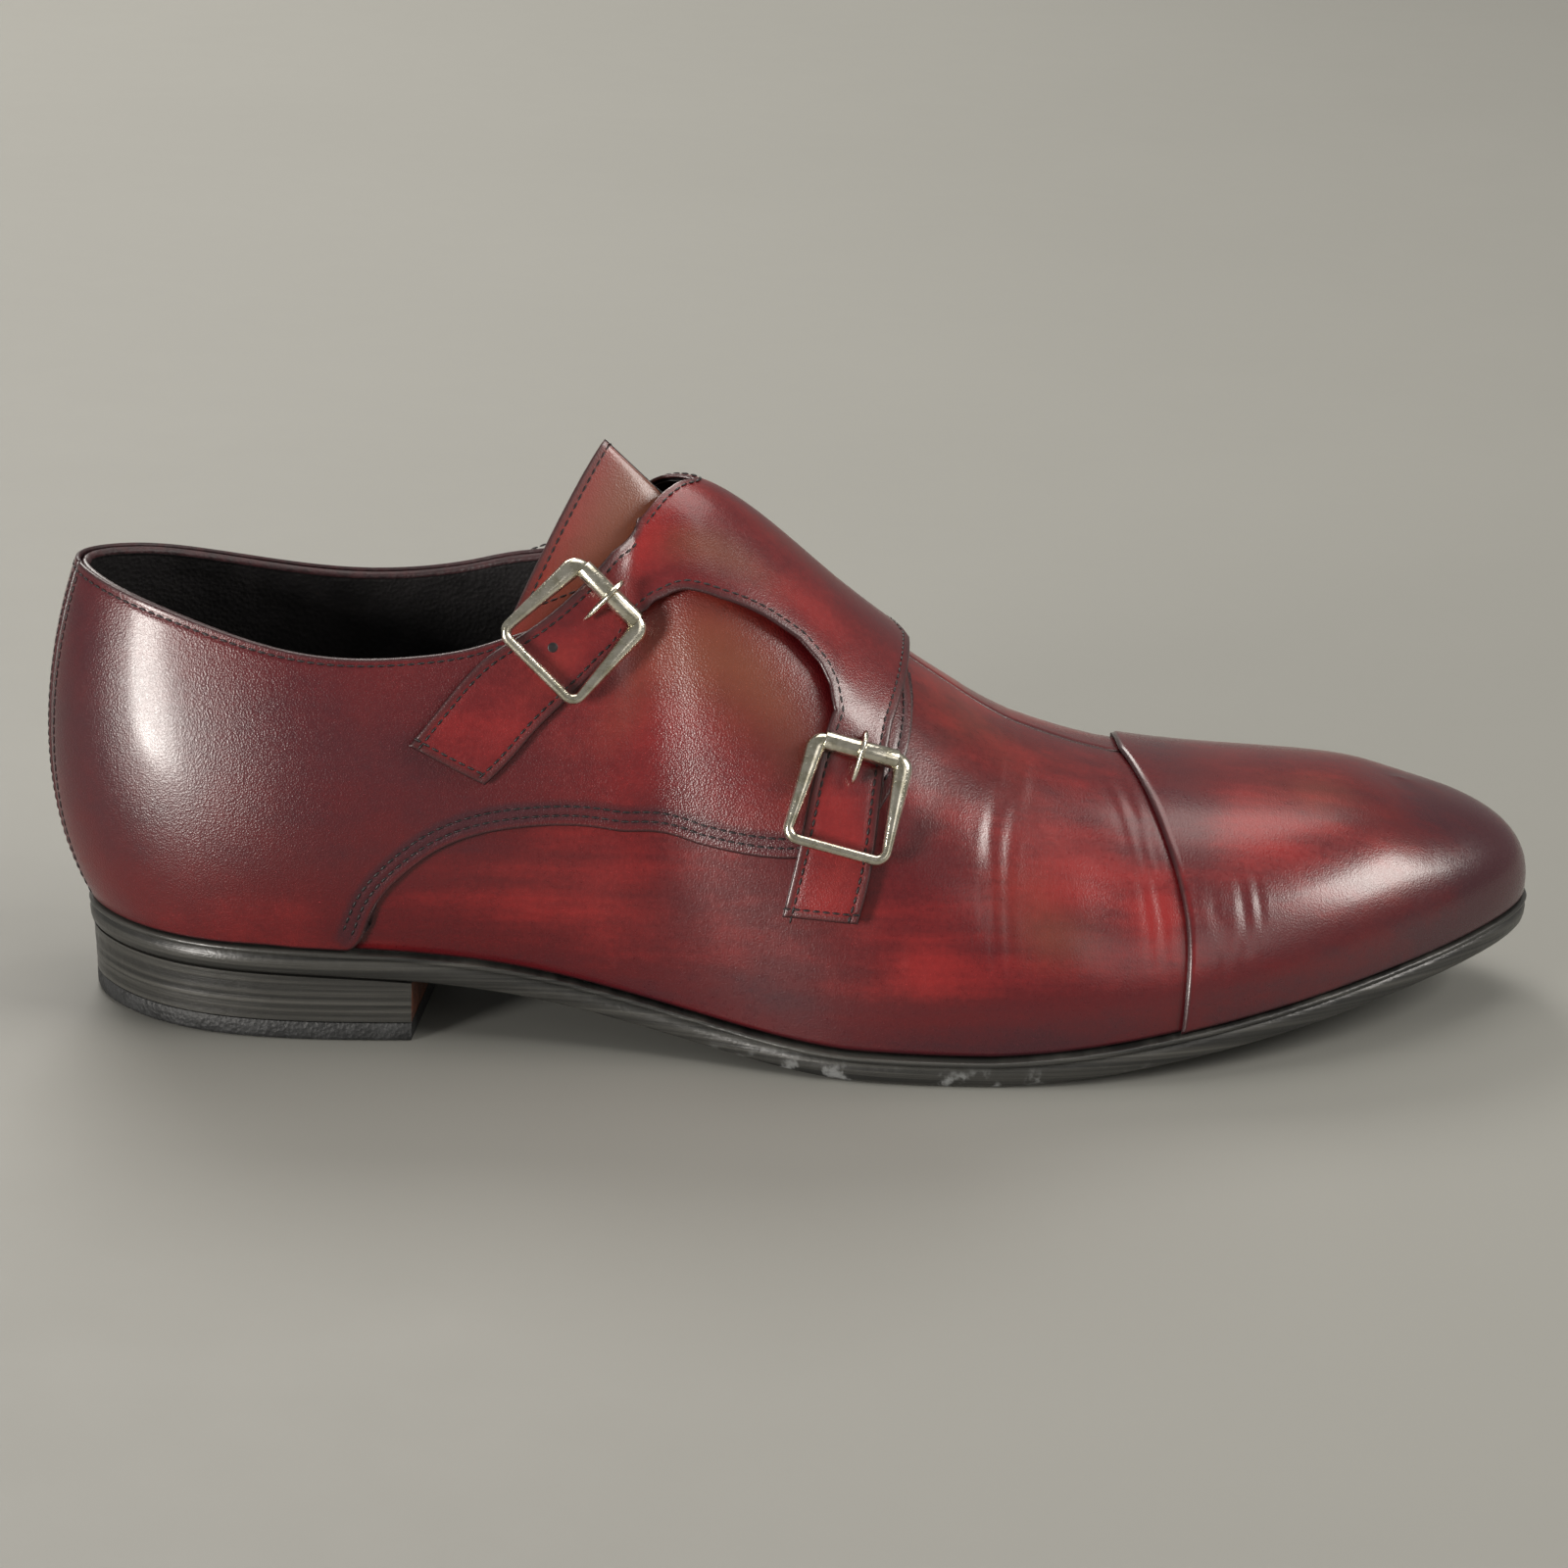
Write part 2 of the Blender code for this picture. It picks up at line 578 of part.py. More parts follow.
def build_bottom():
    ends = smooth_ends(31)
    stations = (ends, ends)
    edge = SOLE_MARGIN
    sole_profile = (
        (edge, 0),
        (edge, SOLE_BEAD),
        (edge - 0.0005, SOLE_BEAD * 1.4),
        (edge, SOLE_BEAD * 2),
        (edge - 0.0006, SOLE_THICKNESS),
    )
    levels = [(out, lambda x, d=down: feather_height(x) - d) for out, down in sole_profile]
    plate("outsole", stations, levels, black_edge)
    low = -WALL - 3 * CLEARANCE
    levels = [
        (low, lambda x: feather_height(x) + CLEARANCE + INSOLE_THICKNESS),
        (low, lambda x: feather_height(x) + CLEARANCE),
    ]
    plate("insole", stations, levels, lining)
    middle = place_at(HEEL_LENGTH + 0.01, 1)
    half = abs(outline(middle, 0)[1])
    skew = half * math.tan(BREAST_SKEW)
    back = RIBS[0, 0]
    share = 1 - np.cos(np.linspace(0, math.pi / 2, 15))
    stations = tuple(share * place_at(back + HEEL_LENGTH - side * skew, side) for side in (1, -1))
    top_out = edge - 0.0006
    levels = [
        (top_out, lambda x: feather_height(x) - SOLE_THICKNESS - CLEARANCE),
        (top_out - HEEL_TAPER, lambda x: np.full_like(x, TOP_PIECE + CLEARANCE)),
    ]
    plate("heel_stack", stations, levels, black_edge)
    levels = [
        (top_out - HEEL_TAPER, lambda x: np.full_like(x, TOP_PIECE)),
        (top_out - HEEL_TAPER * 1.5, lambda x: np.zeros_like(x)),
    ]
    plate("heel_top_piece", stations, levels, rubber)


def smooth_ends(count):
    """Shares from 0 to 1 that crowd a little at both ends."""
    even = np.linspace(0, 1, count)
    return even - 0.4 * np.sin(2 * math.pi * even) / (2 * math.pi)


def tube(name, points, radii, closed, matrix, material):
    """A bent wire through the points, each with its own radius."""
    curve = bpy.data.curves.new(name, "CURVE")
    curve.dimensions = "3D"
    curve.bevel_depth = 1.0
    curve.bevel_resolution = 2
    curve.use_fill_caps = True
    spline = curve.splines.new("POLY")
    spline.points.add(len(points) - 1)
    for point, place, radius in zip(spline.points, points, radii):
        point.co = (*(matrix @ Vector(place)), 1)
        point.radius = radius
    spline.use_cyclic_u = closed
    return finish(bpy.data.objects.new(name, curve), material)


def strap_frame(places, lift):
    """A frame on a strap: X from the thick to the thin bar, Z off the strap, its origin at the thick bar."""
    thick, thin = (Vector(last_point(*place, lift)) for place in places)
    middle = np.mean(places, axis=0)
    normal = Vector(normal_at(middle[0], 1 - middle[1]))
    along = (thin - thick).normalized()
    normal = (normal - along * normal.dot(along)).normalized()
    across = normal.cross(along)
    matrix = Matrix((along, across, normal)).transposed().to_4x4()
    matrix.translation = thick
    return matrix


def build_buckle(name, places):
    strap_top = OVERLAY_GAP + OVERLAY + STRAP_GAP + STRAP_THICKNESS
    matrix = strap_frame(places, strap_top + BUCKLE_LIFT + BUCKLE_BAR / 2)
    half = BUCKLE_WIDTH / 2
    length = BUCKLE_LENGTH - BUCKLE_BAR / 2 - BUCKLE_WIRE / 2
    thick = BUCKLE_BAR / 2
    thin = BUCKLE_WIRE / 2
    corner = 0.0022
    half_end = half - thin * 0.6
    half_start = half - thick
    points, radii = [], []
    for turn in np.linspace(0, math.pi / 2, 4):
        points.append((corner * (1 - math.cos(turn)), half_start - corner * (1 - math.sin(turn)), 0))
        radii.append(thick * 0.95)
    for share in (0.35, 0.65):
        points.append((length * share, half_start + (half_end - half_start) * share, 0))
        radii.append(thick + (thin - thick) * share)
    for turn in np.linspace(0, math.pi / 2, 4):
        points.append((length - corner * (1 - math.sin(turn)), half_end - corner * (1 - math.cos(turn)), 0))
        radii.append(thin)
    loop = points + [(x, -y, z) for x, y, z in points[::-1]]
    tube(name + "_frame", loop, radii + radii[::-1], True, matrix, metal)
    pin = 0.0008
    bend = thick + CLEARANCE + pin
    path = [(-bend * math.sin(a), 0, -bend * math.cos(a)) for a in np.linspace(0.9, math.pi * 1.15, 8)]
    path.append((bend + 0.002, 0, 0.3 * bend))
    path.append((bend + 0.0040, 0, 0))
    tube(name + "_prong", path, [pin] * len(path), False, matrix, metal)


def new_material(name, colour, roughness, metallic=0.0):
    material = bpy.data.materials.new(name)
    material.use_nodes = True
    shader = material.node_tree.nodes["Principled BSDF"]
    shader.inputs["Base Color"].default_value = (*colour, 1)
    shader.inputs["Roughness"].default_value = roughness
    shader.inputs["Metallic"].default_value = metallic
    return material


for old in list(bpy.data.objects):
    bpy.data.objects.remove(old)
shoe = bpy.data.collections.new("Monk strap shoe")
bpy.context.scene.collection.children.link(shoe)
burgundy = new_material("burgundy leather", (0.23, 0.02, 0.025), 0.35)
black_edge = new_material("blackened leather", (0.02, 0.02, 0.022), 0.4)
lining = new_material("black lining leather", (0.02, 0.02, 0.02), 0.7)
rubber = new_material("black rubber", (0.015, 0.015, 0.016), 0.6)
metal = new_material("pale metal", (0.75, 0.72, 0.62), 0.2, 1.0)
ball = outline(np.linspace(0, 2, 400), SOLE_MARGIN)[:, 1]
ORIGIN = (-LENGTH / 2, -(ball.max() + ball.min()) / 2, 0)

build_bottom()
build_upper()
build_overlays()
build_flap()
build_tongue()
build_buckle("rear_buckle", REAR_BUCKLE)
build_buckle("front_buckle", FRONT_BUCKLE)
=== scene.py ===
# %% [markdown]
# # A double monk strap shoe
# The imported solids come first, as a fixed frame. The looks are laid over them: every leather piece
# is worked out again, finely, from the same last, so it lies where its solid lies.

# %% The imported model
import math

import bpy
import numpy as np
from mathutils import Matrix, Vector


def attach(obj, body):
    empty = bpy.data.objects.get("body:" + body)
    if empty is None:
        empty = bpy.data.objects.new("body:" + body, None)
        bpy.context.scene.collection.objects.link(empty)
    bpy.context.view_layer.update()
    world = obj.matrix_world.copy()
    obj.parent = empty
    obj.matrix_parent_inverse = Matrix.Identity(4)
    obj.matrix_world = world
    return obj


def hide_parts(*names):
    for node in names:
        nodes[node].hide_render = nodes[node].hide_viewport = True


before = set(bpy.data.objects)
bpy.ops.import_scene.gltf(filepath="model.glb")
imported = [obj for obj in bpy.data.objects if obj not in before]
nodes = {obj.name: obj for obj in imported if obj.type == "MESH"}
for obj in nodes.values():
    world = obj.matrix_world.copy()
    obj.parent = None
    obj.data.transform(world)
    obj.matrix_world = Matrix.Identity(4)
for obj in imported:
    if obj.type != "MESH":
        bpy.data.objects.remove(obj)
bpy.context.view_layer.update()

# %% [markdown]
# ## The last
# A shoemaker's last is one smooth form, and every piece of leather is pulled over it. It could be
# sculpted, but then straps, seams and stitches would each need fitting by eye. Here it is a formula:
# ribs from the sole's edge to the top line, each a cubic Bezier curve, with smooth splines through
# their handles. A place on it is s along the shoe and c round it, so a seam is a line in that chart.

# %% Sizes of the shoe
# Driving sizes
LENGTH = 0.310
BALL_WIDTH = 0.100
INSTEP = 0.100
HEEL_HEIGHT = 0.0145
HEEL_LENGTH = 0.069
TOP_PIECE = 0.0040
SOLE_THICKNESS = 0.0055
SOLE_MARGIN = 0.0018
WALL = 0.0015
OVERLAY = 0.0010
STRAP_THICKNESS = 0.0014
OVERLAY_GAP = 0.0004
STRAP_GAP = 0.0005
TONGUE_THICKNESS = 0.0014
CLEARANCE = 0.0003
SAME_PLACE = 0.00001
BUCKLE_WIDTH = 0.0215
BUCKLE_LENGTH = 0.0235
BUCKLE_BAR = 0.0034
BUCKLE_WIRE = 0.0022
BUCKLE_LIFT = 0.0007

# %% The ribs of the last
# The last. A rib is a cubic Bezier curve from its foot on the feather edge to its top.
# foot_x, top_x are shares of LENGTH. foot_y, top_y, belly_out, crown_out are shares of BALL_WIDTH.
# top_rise (above the foot), belly_up, crown_up are shares of INSTEP. Belly and crown are the
# curve's two handles: from the foot, and from the top. The first rib is at the back of the heel.
# Columns: foot_x, foot_y, top_x, top_y, top_rise, belly_out, belly_up, crown_out, crown_up.
LATERAL_RIBS = (
    (0.036, 0.020, 0.028, 0.015, 0.725, 0.110, 0.20, 0.085, -0.26),
    (0.053, -0.115, 0.044, -0.085, 0.710, 0.105, 0.20, 0.085, -0.25),
    (0.096, -0.230, 0.084, -0.165, 0.675, 0.090, 0.20, 0.075, -0.24),
    (0.163, -0.285, 0.155, -0.225, 0.617, 0.080, 0.20, 0.080, -0.22),
    (0.258, -0.290, 0.245, -0.230, 0.618, 0.070, 0.18, 0.070, -0.20),
    (0.326, -0.295, 0.313, -0.210, 0.700, 0.070, 0.20, 0.080, -0.22),
    (0.387, -0.325, 0.371, -0.125, 0.875, 0.065, 0.27, 0.120, -0.18),
    (0.445, -0.375, 0.419, 0.010, 0.997, 0.040, 0.36, 0.185, 0.00),
    (0.516, -0.455, 0.503, 0.010, 0.845, 0.012, 0.36, 0.230, 0.00),
    (0.594, -0.492, 0.584, 0.015, 0.651, 0.010, 0.31, 0.270, 0.00),
    (0.671, -0.487, 0.665, 0.025, 0.502, 0.012, 0.26, 0.290, 0.00),
    (0.748, -0.442, 0.742, 0.040, 0.417, 0.015, 0.23, 0.270, 0.00),
    (0.826, -0.355, 0.812, 0.055, 0.362, 0.020, 0.21, 0.230, 0.00),
    (0.895, -0.240, 0.865, 0.070, 0.308, 0.020, 0.19, 0.190, 0.00),
    (0.953, -0.100, 0.893, 0.083, 0.258, 0.025, 0.16, 0.165, 0.00),
    (0.991, 0.090, 0.904, 0.090, 0.236, 0.025, 0.15, 0.160, 0.00),
)
MEDIAL_RIBS = (
    (0.053, 0.150, 0.044, 0.110, 0.715, 0.105, 0.20, 0.085, -0.25),
    (0.096, 0.260, 0.084, 0.190, 0.690, 0.095, 0.20, 0.075, -0.24),
    (0.163, 0.285, 0.155, 0.240, 0.645, 0.080, 0.20, 0.075, -0.22),
    (0.258, 0.255, 0.245, 0.240, 0.650, 0.090, 0.20, 0.070, -0.20),
    (0.326, 0.235, 0.313, 0.215, 0.730, 0.100, 0.22, 0.080, -0.22),
    (0.387, 0.245, 0.371, 0.140, 0.875, 0.095, 0.28, 0.115, -0.18),
    (0.445, 0.275, 0.419, 0.010, 0.997, 0.070, 0.38, 0.180, 0.00),
    (0.516, 0.340, 0.503, 0.010, 0.845, 0.040, 0.36, 0.215, 0.00),
    (0.594, 0.410, 0.584, 0.015, 0.651, 0.020, 0.31, 0.265, 0.00),
    (0.671, 0.455, 0.665, 0.025, 0.502, 0.012, 0.26, 0.290, 0.00),
    (0.748, 0.460, 0.742, 0.040, 0.417, 0.015, 0.23, 0.270, 0.00),
    (0.826, 0.430, 0.812, 0.055, 0.362, 0.020, 0.21, 0.230, 0.00),
    (0.899, 0.370, 0.865, 0.070, 0.308, 0.020, 0.19, 0.190, 0.00),
    (0.957, 0.265, 0.893, 0.083, 0.258, 0.025, 0.16, 0.165, 0.00),
)
# Height of the feather edge above the floor: x is a share of LENGTH, and rise, above the
# sole's own thickness, a share of HEEL_HEIGHT. The ball dips a hair and is cut off flat.
RISE_COLUMNS = ("x", "rise")
FEATHER_RISE = (
    (0.00, 1.00),
    (0.13, 1.01),
    (0.26, 0.89),
    (0.34, 0.64),
    (0.40, 0.38),
    (0.46, 0.14),
    (0.52, 0.01),
    (0.59, -0.02),
    (0.66, 0.05),
    (0.75, 0.28),
    (0.83, 0.54),
    (0.90, 0.79),
    (1.00, 1.08),
)
RIDGE_RIB = 7
COLLAR_RIB = 6
RIDGE_END = 0.90

# %% Seams and edges in the last's chart
# Places on the last's chart: s from heel 0 to toe 1, c from the ridge or top line 0 to the
# lateral feather edge 1 or the medial one -1. At the top itself c keeps a hair, for its sign.
HAIR = 1e-7
BACK_SEAM = 0.012
SEAM_GAP = 0.0012
THROAT_BACK = 0.295
THROAT_FRONT = 0.560
THROAT = 0.20
QUARTER_TOP_FRONT = 0.05
CAP_COLUMNS = ("c", "s")
CAP_EDGE = ((-1.0, 0.715), (-0.6, 0.700), (0.0, 0.692), (0.4, 0.704), (0.7, 0.717), (1.0, 0.718))
# The lower edge of a quarter and the place of its top edge above, from the back seam forward.
# Columns: low_s, low_c, top_s.
LATERAL_QUARTER = (
    (0.060, 1.000, 0.060),
    (0.120, 1.000, 0.120),
    (0.165, 1.000, 0.170),
    (0.199, 1.000, 0.215),
    (0.214, 0.835, 0.240),
    (0.234, 0.690, 0.265),
    (0.262, 0.585, 0.290),
    (0.300, 0.533, 0.320),
    (0.345, 0.566, 0.350),
    (0.393, 0.665, 0.385),
    (0.437, 0.710, 0.415),
    (0.478, 0.697, 0.440),
    (0.515, 0.630, 0.470),
    (0.541, 0.508, 0.500),
    (0.555, 0.380, 0.525),
    (0.560, 0.250, 0.542),
    (0.558, 0.120, 0.553),
)
MEDIAL_QUARTER = (
    (0.060, 1.000, 0.060),
    (0.120, 1.000, 0.120),
    (0.165, 1.000, 0.170),
    (0.202, 1.000, 0.215),
    (0.217, 0.825, 0.240),
    (0.238, 0.705, 0.265),
    (0.265, 0.610, 0.290),
    (0.300, 0.560, 0.320),
    (0.345, 0.570, 0.350),
    (0.400, 0.620, 0.385),
    (0.445, 0.640, 0.415),
    (0.480, 0.630, 0.440),
    (0.515, 0.570, 0.470),
    (0.540, 0.460, 0.500),
    (0.553, 0.350, 0.525),
    (0.558, 0.240, 0.542),
    (0.556, 0.120, 0.553),
)
# The flap across the instep: its rear and front edges, from the medial side to the ridge.
# Columns: rear_s, rear_c, front_s, front_c.
FLAP = (
    (0.350, -0.440, 0.530, -0.440),
    (0.362, -0.300, 0.545, -0.300),
    (0.392, -0.140, 0.553, -0.150),
    (0.432, 0.000, 0.556, 0.000),
)
# The flap's lateral end: across the root of the rear strap, round the cut-out, across the front
# strap's root. share is the place between rear and front edge.
END_COLUMNS = ("share", "s", "c")
REAR_ROOT = 0.30
FRONT_ROOT = 0.75
FLAP_END = (
    (0.00, 0.352, 0.008),
    (REAR_ROOT, 0.393, 0.300),
    (0.35, 0.405, 0.328),
    (0.39, 0.418, 0.328),
    (0.44, 0.434, 0.318),
    (0.50, 0.453, 0.323),
    (0.56, 0.475, 0.315),
    (0.62, 0.492, 0.314),
    (0.67, 0.503, 0.332),
    (0.71, 0.508, 0.360),
    (FRONT_ROOT, 0.510, 0.405),
    (1.00, 0.545, 0.345),
)
# The end's rear edge, from the ridge down to the rear strap's root.
FLAP_REAR = (
    (0.00, 0.432, 0.000),
    (0.15, 0.424, 0.045),
    (0.32, 0.413, 0.098),
    (0.42, 0.4065, 0.108),
    (0.50, 0.400, 0.098),
    (0.60, 0.3925, 0.064),
    (0.68, 0.387, 0.028),
    (0.76, 0.381, 0.008),
    (0.88, 0.367, 0.004),
    (1.00, 0.352, 0.008),
)
# How far the end's front edge swells forwards between its corners.
FLAP_SWELL = 0.004
# Each strap's edges from its root to its tip.
# Columns: rear_s, rear_c, front_s, front_c.
REAR_STRAP = (
    (0.352, 0.008, 0.393, 0.300),
    (0.322, 0.015, 0.363, 0.270),
    (0.297, 0.035, 0.336, 0.275),
    (0.270, 0.140, 0.313, 0.325),
    (0.245, 0.270, 0.291, 0.395),
)
FRONT_STRAP = (
    (0.510, 0.405, 0.545, 0.345),
    (0.497, 0.560, 0.537, 0.510),
    (0.485, 0.695, 0.528, 0.675),
    (0.475, 0.785, 0.520, 0.757),
)
# Buckles: where the thick and the thin bar cross the strap's middle.
REAR_BUCKLE = ((0.372, 0.130), (0.317, 0.150))
FRONT_BUCKLE = ((0.524, 0.455), (0.507, 0.660))
TONGUE_HALF = 0.24
TONGUE_ROOT = 0.58
# From the collar's end to the tip and to its lateral and medial corners.
TONGUE_TIP = (-0.0156, 0, 0.0148)
LATERAL_CORNER = (-0.0372, -0.0109, -0.0165)
MEDIAL_CORNER = (-0.0200, 0.0040, -0.0120)
TONGUE_SINK = 0.0018
BREAST_SKEW = math.radians(8)
HEEL_TAPER = 0.0006

# %% From chart to space
def column(table, names, name):
    return np.array([row[names.index(name)] for row in table], float)


def cubic_spline(knots, values, at, period=None):
    """A cubic through the values whose slope and bend are continuous, closed where period is given."""
    knots = np.asarray(knots, float)
    values = np.asarray(values, float).reshape(len(knots), -1)
    at = np.asarray(at, float)
    count = len(knots)
    steps = np.diff(knots)
    slopes = np.diff(values, axis=0) / steps[:, None]
    system = np.eye(count)
    right = np.zeros_like(values)
    for i in range(1, count - 1):
        system[i, i - 1 : i + 2] = steps[i - 1], 2 * (steps[i - 1] + steps[i]), steps[i]
        right[i] = 6 * (slopes[i] - slopes[i - 1])
    if period is not None:
        system[0] = 0
        system[0, :2] = 2 * (steps[-1] + steps[0]), steps[0]
        system[0, count - 2] = steps[-1]
        right[0] = 6 * (slopes[0] - slopes[-1])
        system[-1] = 0
        system[-1, 0] = 1
        system[-1, -1] = -1
        at = knots[0] + np.mod(at - knots[0], period)
    bends = np.linalg.solve(system, right)
    i = np.clip(np.searchsorted(knots, at, side="right") - 1, 0, count - 2)
    step = steps[i][..., None]
    ahead = (np.clip(at, knots[0], knots[-1]) - knots[i])[..., None] / step
    back = 1 - ahead
    curve = ((back**3 - back) * bends[i] + (ahead**3 - ahead) * bends[i + 1]) * step**2 / 6
    return back * values[i] + ahead * values[i + 1] + curve


def smooth_step(x):
    x = np.clip(x, 0, 1)
    return x * x * (3 - 2 * x)


def unit(v):
    return v / np.linalg.norm(v, axis=-1, keepdims=True)


RIB_SCALE = np.array((LENGTH, BALL_WIDTH, LENGTH, BALL_WIDTH, INSTEP, BALL_WIDTH, INSTEP, BALL_WIDTH, INSTEP))
RIBS = np.array(LATERAL_RIBS + MEDIAL_RIBS[::-1] + LATERAL_RIBS[:1]) * RIB_SCALE
LAST_RIB = len(LATERAL_RIBS) - 1


def rib_knots():
    """Each rib's place round the loop: 0 at the heel, 1 at the toe, 2 at the heel again."""
    gaps = np.linalg.norm(np.diff(RIBS[:, :2], axis=0), axis=1)
    gaps = (gaps[:LAST_RIB] + gaps[LAST_RIB:][::-1]) / 2
    along = np.concatenate(([0], np.cumsum(gaps))) / gaps.sum()
    return np.concatenate((along, 2 - along[-2::-1]))


KNOTS = rib_knots()
RIDGE_START = KNOTS[RIDGE_RIB]
COLLAR_END = KNOTS[COLLAR_RIB]


def feather_height(x):
    """Height of the top of the sole above the floor at a distance x from the heel's back."""
    knots = column(FEATHER_RISE, RISE_COLUMNS, "x") * LENGTH
    rise = cubic_spline(knots, column(FEATHER_RISE, RISE_COLUMNS, "rise"), x)[..., 0]
    return SOLE_THICKNESS + HEEL_HEIGHT * np.maximum(rise, 0)


def ribs_at(w):
    """Foot, belly handle, crown handle and top of the ribs at the places w, and their plan normals."""
    w = np.asarray(w, float)
    rib = cubic_spline(KNOTS, RIBS, w, 2)
    mirror = cubic_spline(KNOTS, RIBS, 2 - w, 2)
    small = 1e-4
    after = cubic_spline(KNOTS, RIBS, w + small, 2)
    before = cubic_spline(KNOTS, RIBS, w - small, 2)
    along = after[..., :2] - before[..., :2]
    out = unit(np.stack((along[..., 1], -along[..., 0]), -1))
    foot_z = feather_height(rib[..., 0]) + CLEARANCE
    foot = np.concatenate((rib[..., :2], foot_z[..., None]), -1)
    s = 1 - np.abs(1 - np.mod(w, 2))
    apart = 1 - smooth_step((s - COLLAR_END) / (RIDGE_START - COLLAR_END))
    top = top_of(rib)
    other = top_of(mirror)
    top = (top + other) / 2 + (top - other) / 2 * apart[..., None]
    slope = ridge_slope(s) * (1 - apart)
    belly_out, belly_up, crown_out, crown_up = (rib[..., i] for i in range(5, 9))
    belly = foot + np.concatenate((out * belly_out[..., None], belly_up[..., None]), -1)
    crown_z = crown_up * apart + slope * out[..., 0] * crown_out
    crown = top + np.concatenate((out * crown_out[..., None], crown_z[..., None]), -1)
    return foot, belly, crown, top, out


def top_of(rib):
    top_z = feather_height(rib[..., 0]) + CLEARANCE + rib[..., 4]
    return np.concatenate((rib[..., 2:4], top_z[..., None]), -1)


def ridge_slope(s):
    """How fast the ridge rises towards the toe. It falls all the way, and is held near its end."""
    small = 1e-3
    s = np.clip(s, COLLAR_END, RIDGE_END)
    after = top_of(cubic_spline(KNOTS, RIBS, s + small, 2))
    before = top_of(cubic_spline(KNOTS, RIBS, s - small, 2))
    return np.minimum((after[..., 2] - before[..., 2]) / (after[..., 0] - before[..., 0]), 0)


def bezier(foot, belly, crown, top, v):
    v = np.asarray(v, float)[..., None]
    u = 1 - v
    return foot * u**3 + 3 * belly * v * u**2 + 3 * crown * v**2 * u + top * v**3


def normal_at(w, v):
    """The last's outward normal, level at the feather edge, from differences along and up."""
    small = 1e-3
    v = np.clip(v, 0, 0.985)
    along = bezier(*ribs_at(w + small)[:4], v) - bezier(*ribs_at(w - small)[:4], v)
    here = ribs_at(w)
    up = bezier(*here[:4], v + small) - bezier(*here[:4], v)
    normal = unit(np.cross(along, up))
    level = np.concatenate((here[4], np.zeros_like(here[4][..., :1])), -1)
    share = smooth_step(v / 0.10)[..., None]
    return unit(level * (1 - share) + normal * share)


def last_point(s, c, lift):
    """A point over the last. s runs from heel 0 to toe 1. c is 0 at the top or ridge, 1 at the
    lateral feather edge and -1 at the medial one. lift is its height over the last's surface."""
    s, c, lift = np.broadcast_arrays(np.asarray(s, float), np.asarray(c, float), lift)
    w = np.where(c >= 0, s, 2 - s)
    v = 1 - np.abs(c)
    normal = normal_at(w, v)
    on_ridge = (np.abs(c) <= HAIR) & (s >= RIDGE_START - HAIR)
    normal = np.where(on_ridge[..., None], unit(normal + normal_at(2 - w, v)), normal)
    return bezier(*ribs_at(w)[:4], v) + normal * lift[..., None]


def throat_edge(s):
    """Half the throat opening under the flap, as a share of a rib: a smooth hump along s."""
    along = np.clip((s - THROAT_BACK) / (THROAT_FRONT - THROAT_BACK), 0, 1)
    return THROAT * np.sin(math.pi * along) ** 2


SOLE_SIDES = np.linspace(0, 2, 400)
SOLE_REACH = (ribs_at(SOLE_SIDES)[0] + SOLE_MARGIN * np.pad(ribs_at(SOLE_SIDES)[4], ((0, 0), (0, 1))))[:, 1]
ORIGIN = np.array((-LENGTH / 2, -(SOLE_REACH.max() + SOLE_REACH.min()) / 2, 0))
print("the last's toe", last_point(1, 1, 0) + ORIGIN)

# %% [markdown]
# ## Creases and wear of the last's surface
# Worn leather folds where the foot bends: behind the cap and across the vamp, in bundles of fine
# lines. They could be noise, but real ones have places, so each is a short curve put into the
# chart, with a width and a depth: a soft trough in the surface with a low ridge on each side.

# %% Creases
CHART_LONG = 0.330
CHART_ROUND = 0.092
CREASE_DEPTH = 0.6
CREASE_POINTS = 9
SIDE_RIDGE_HIGH = 0.3
SIDE_RIDGE_AWAY = 1.8
CREASE_FADE = 0.6
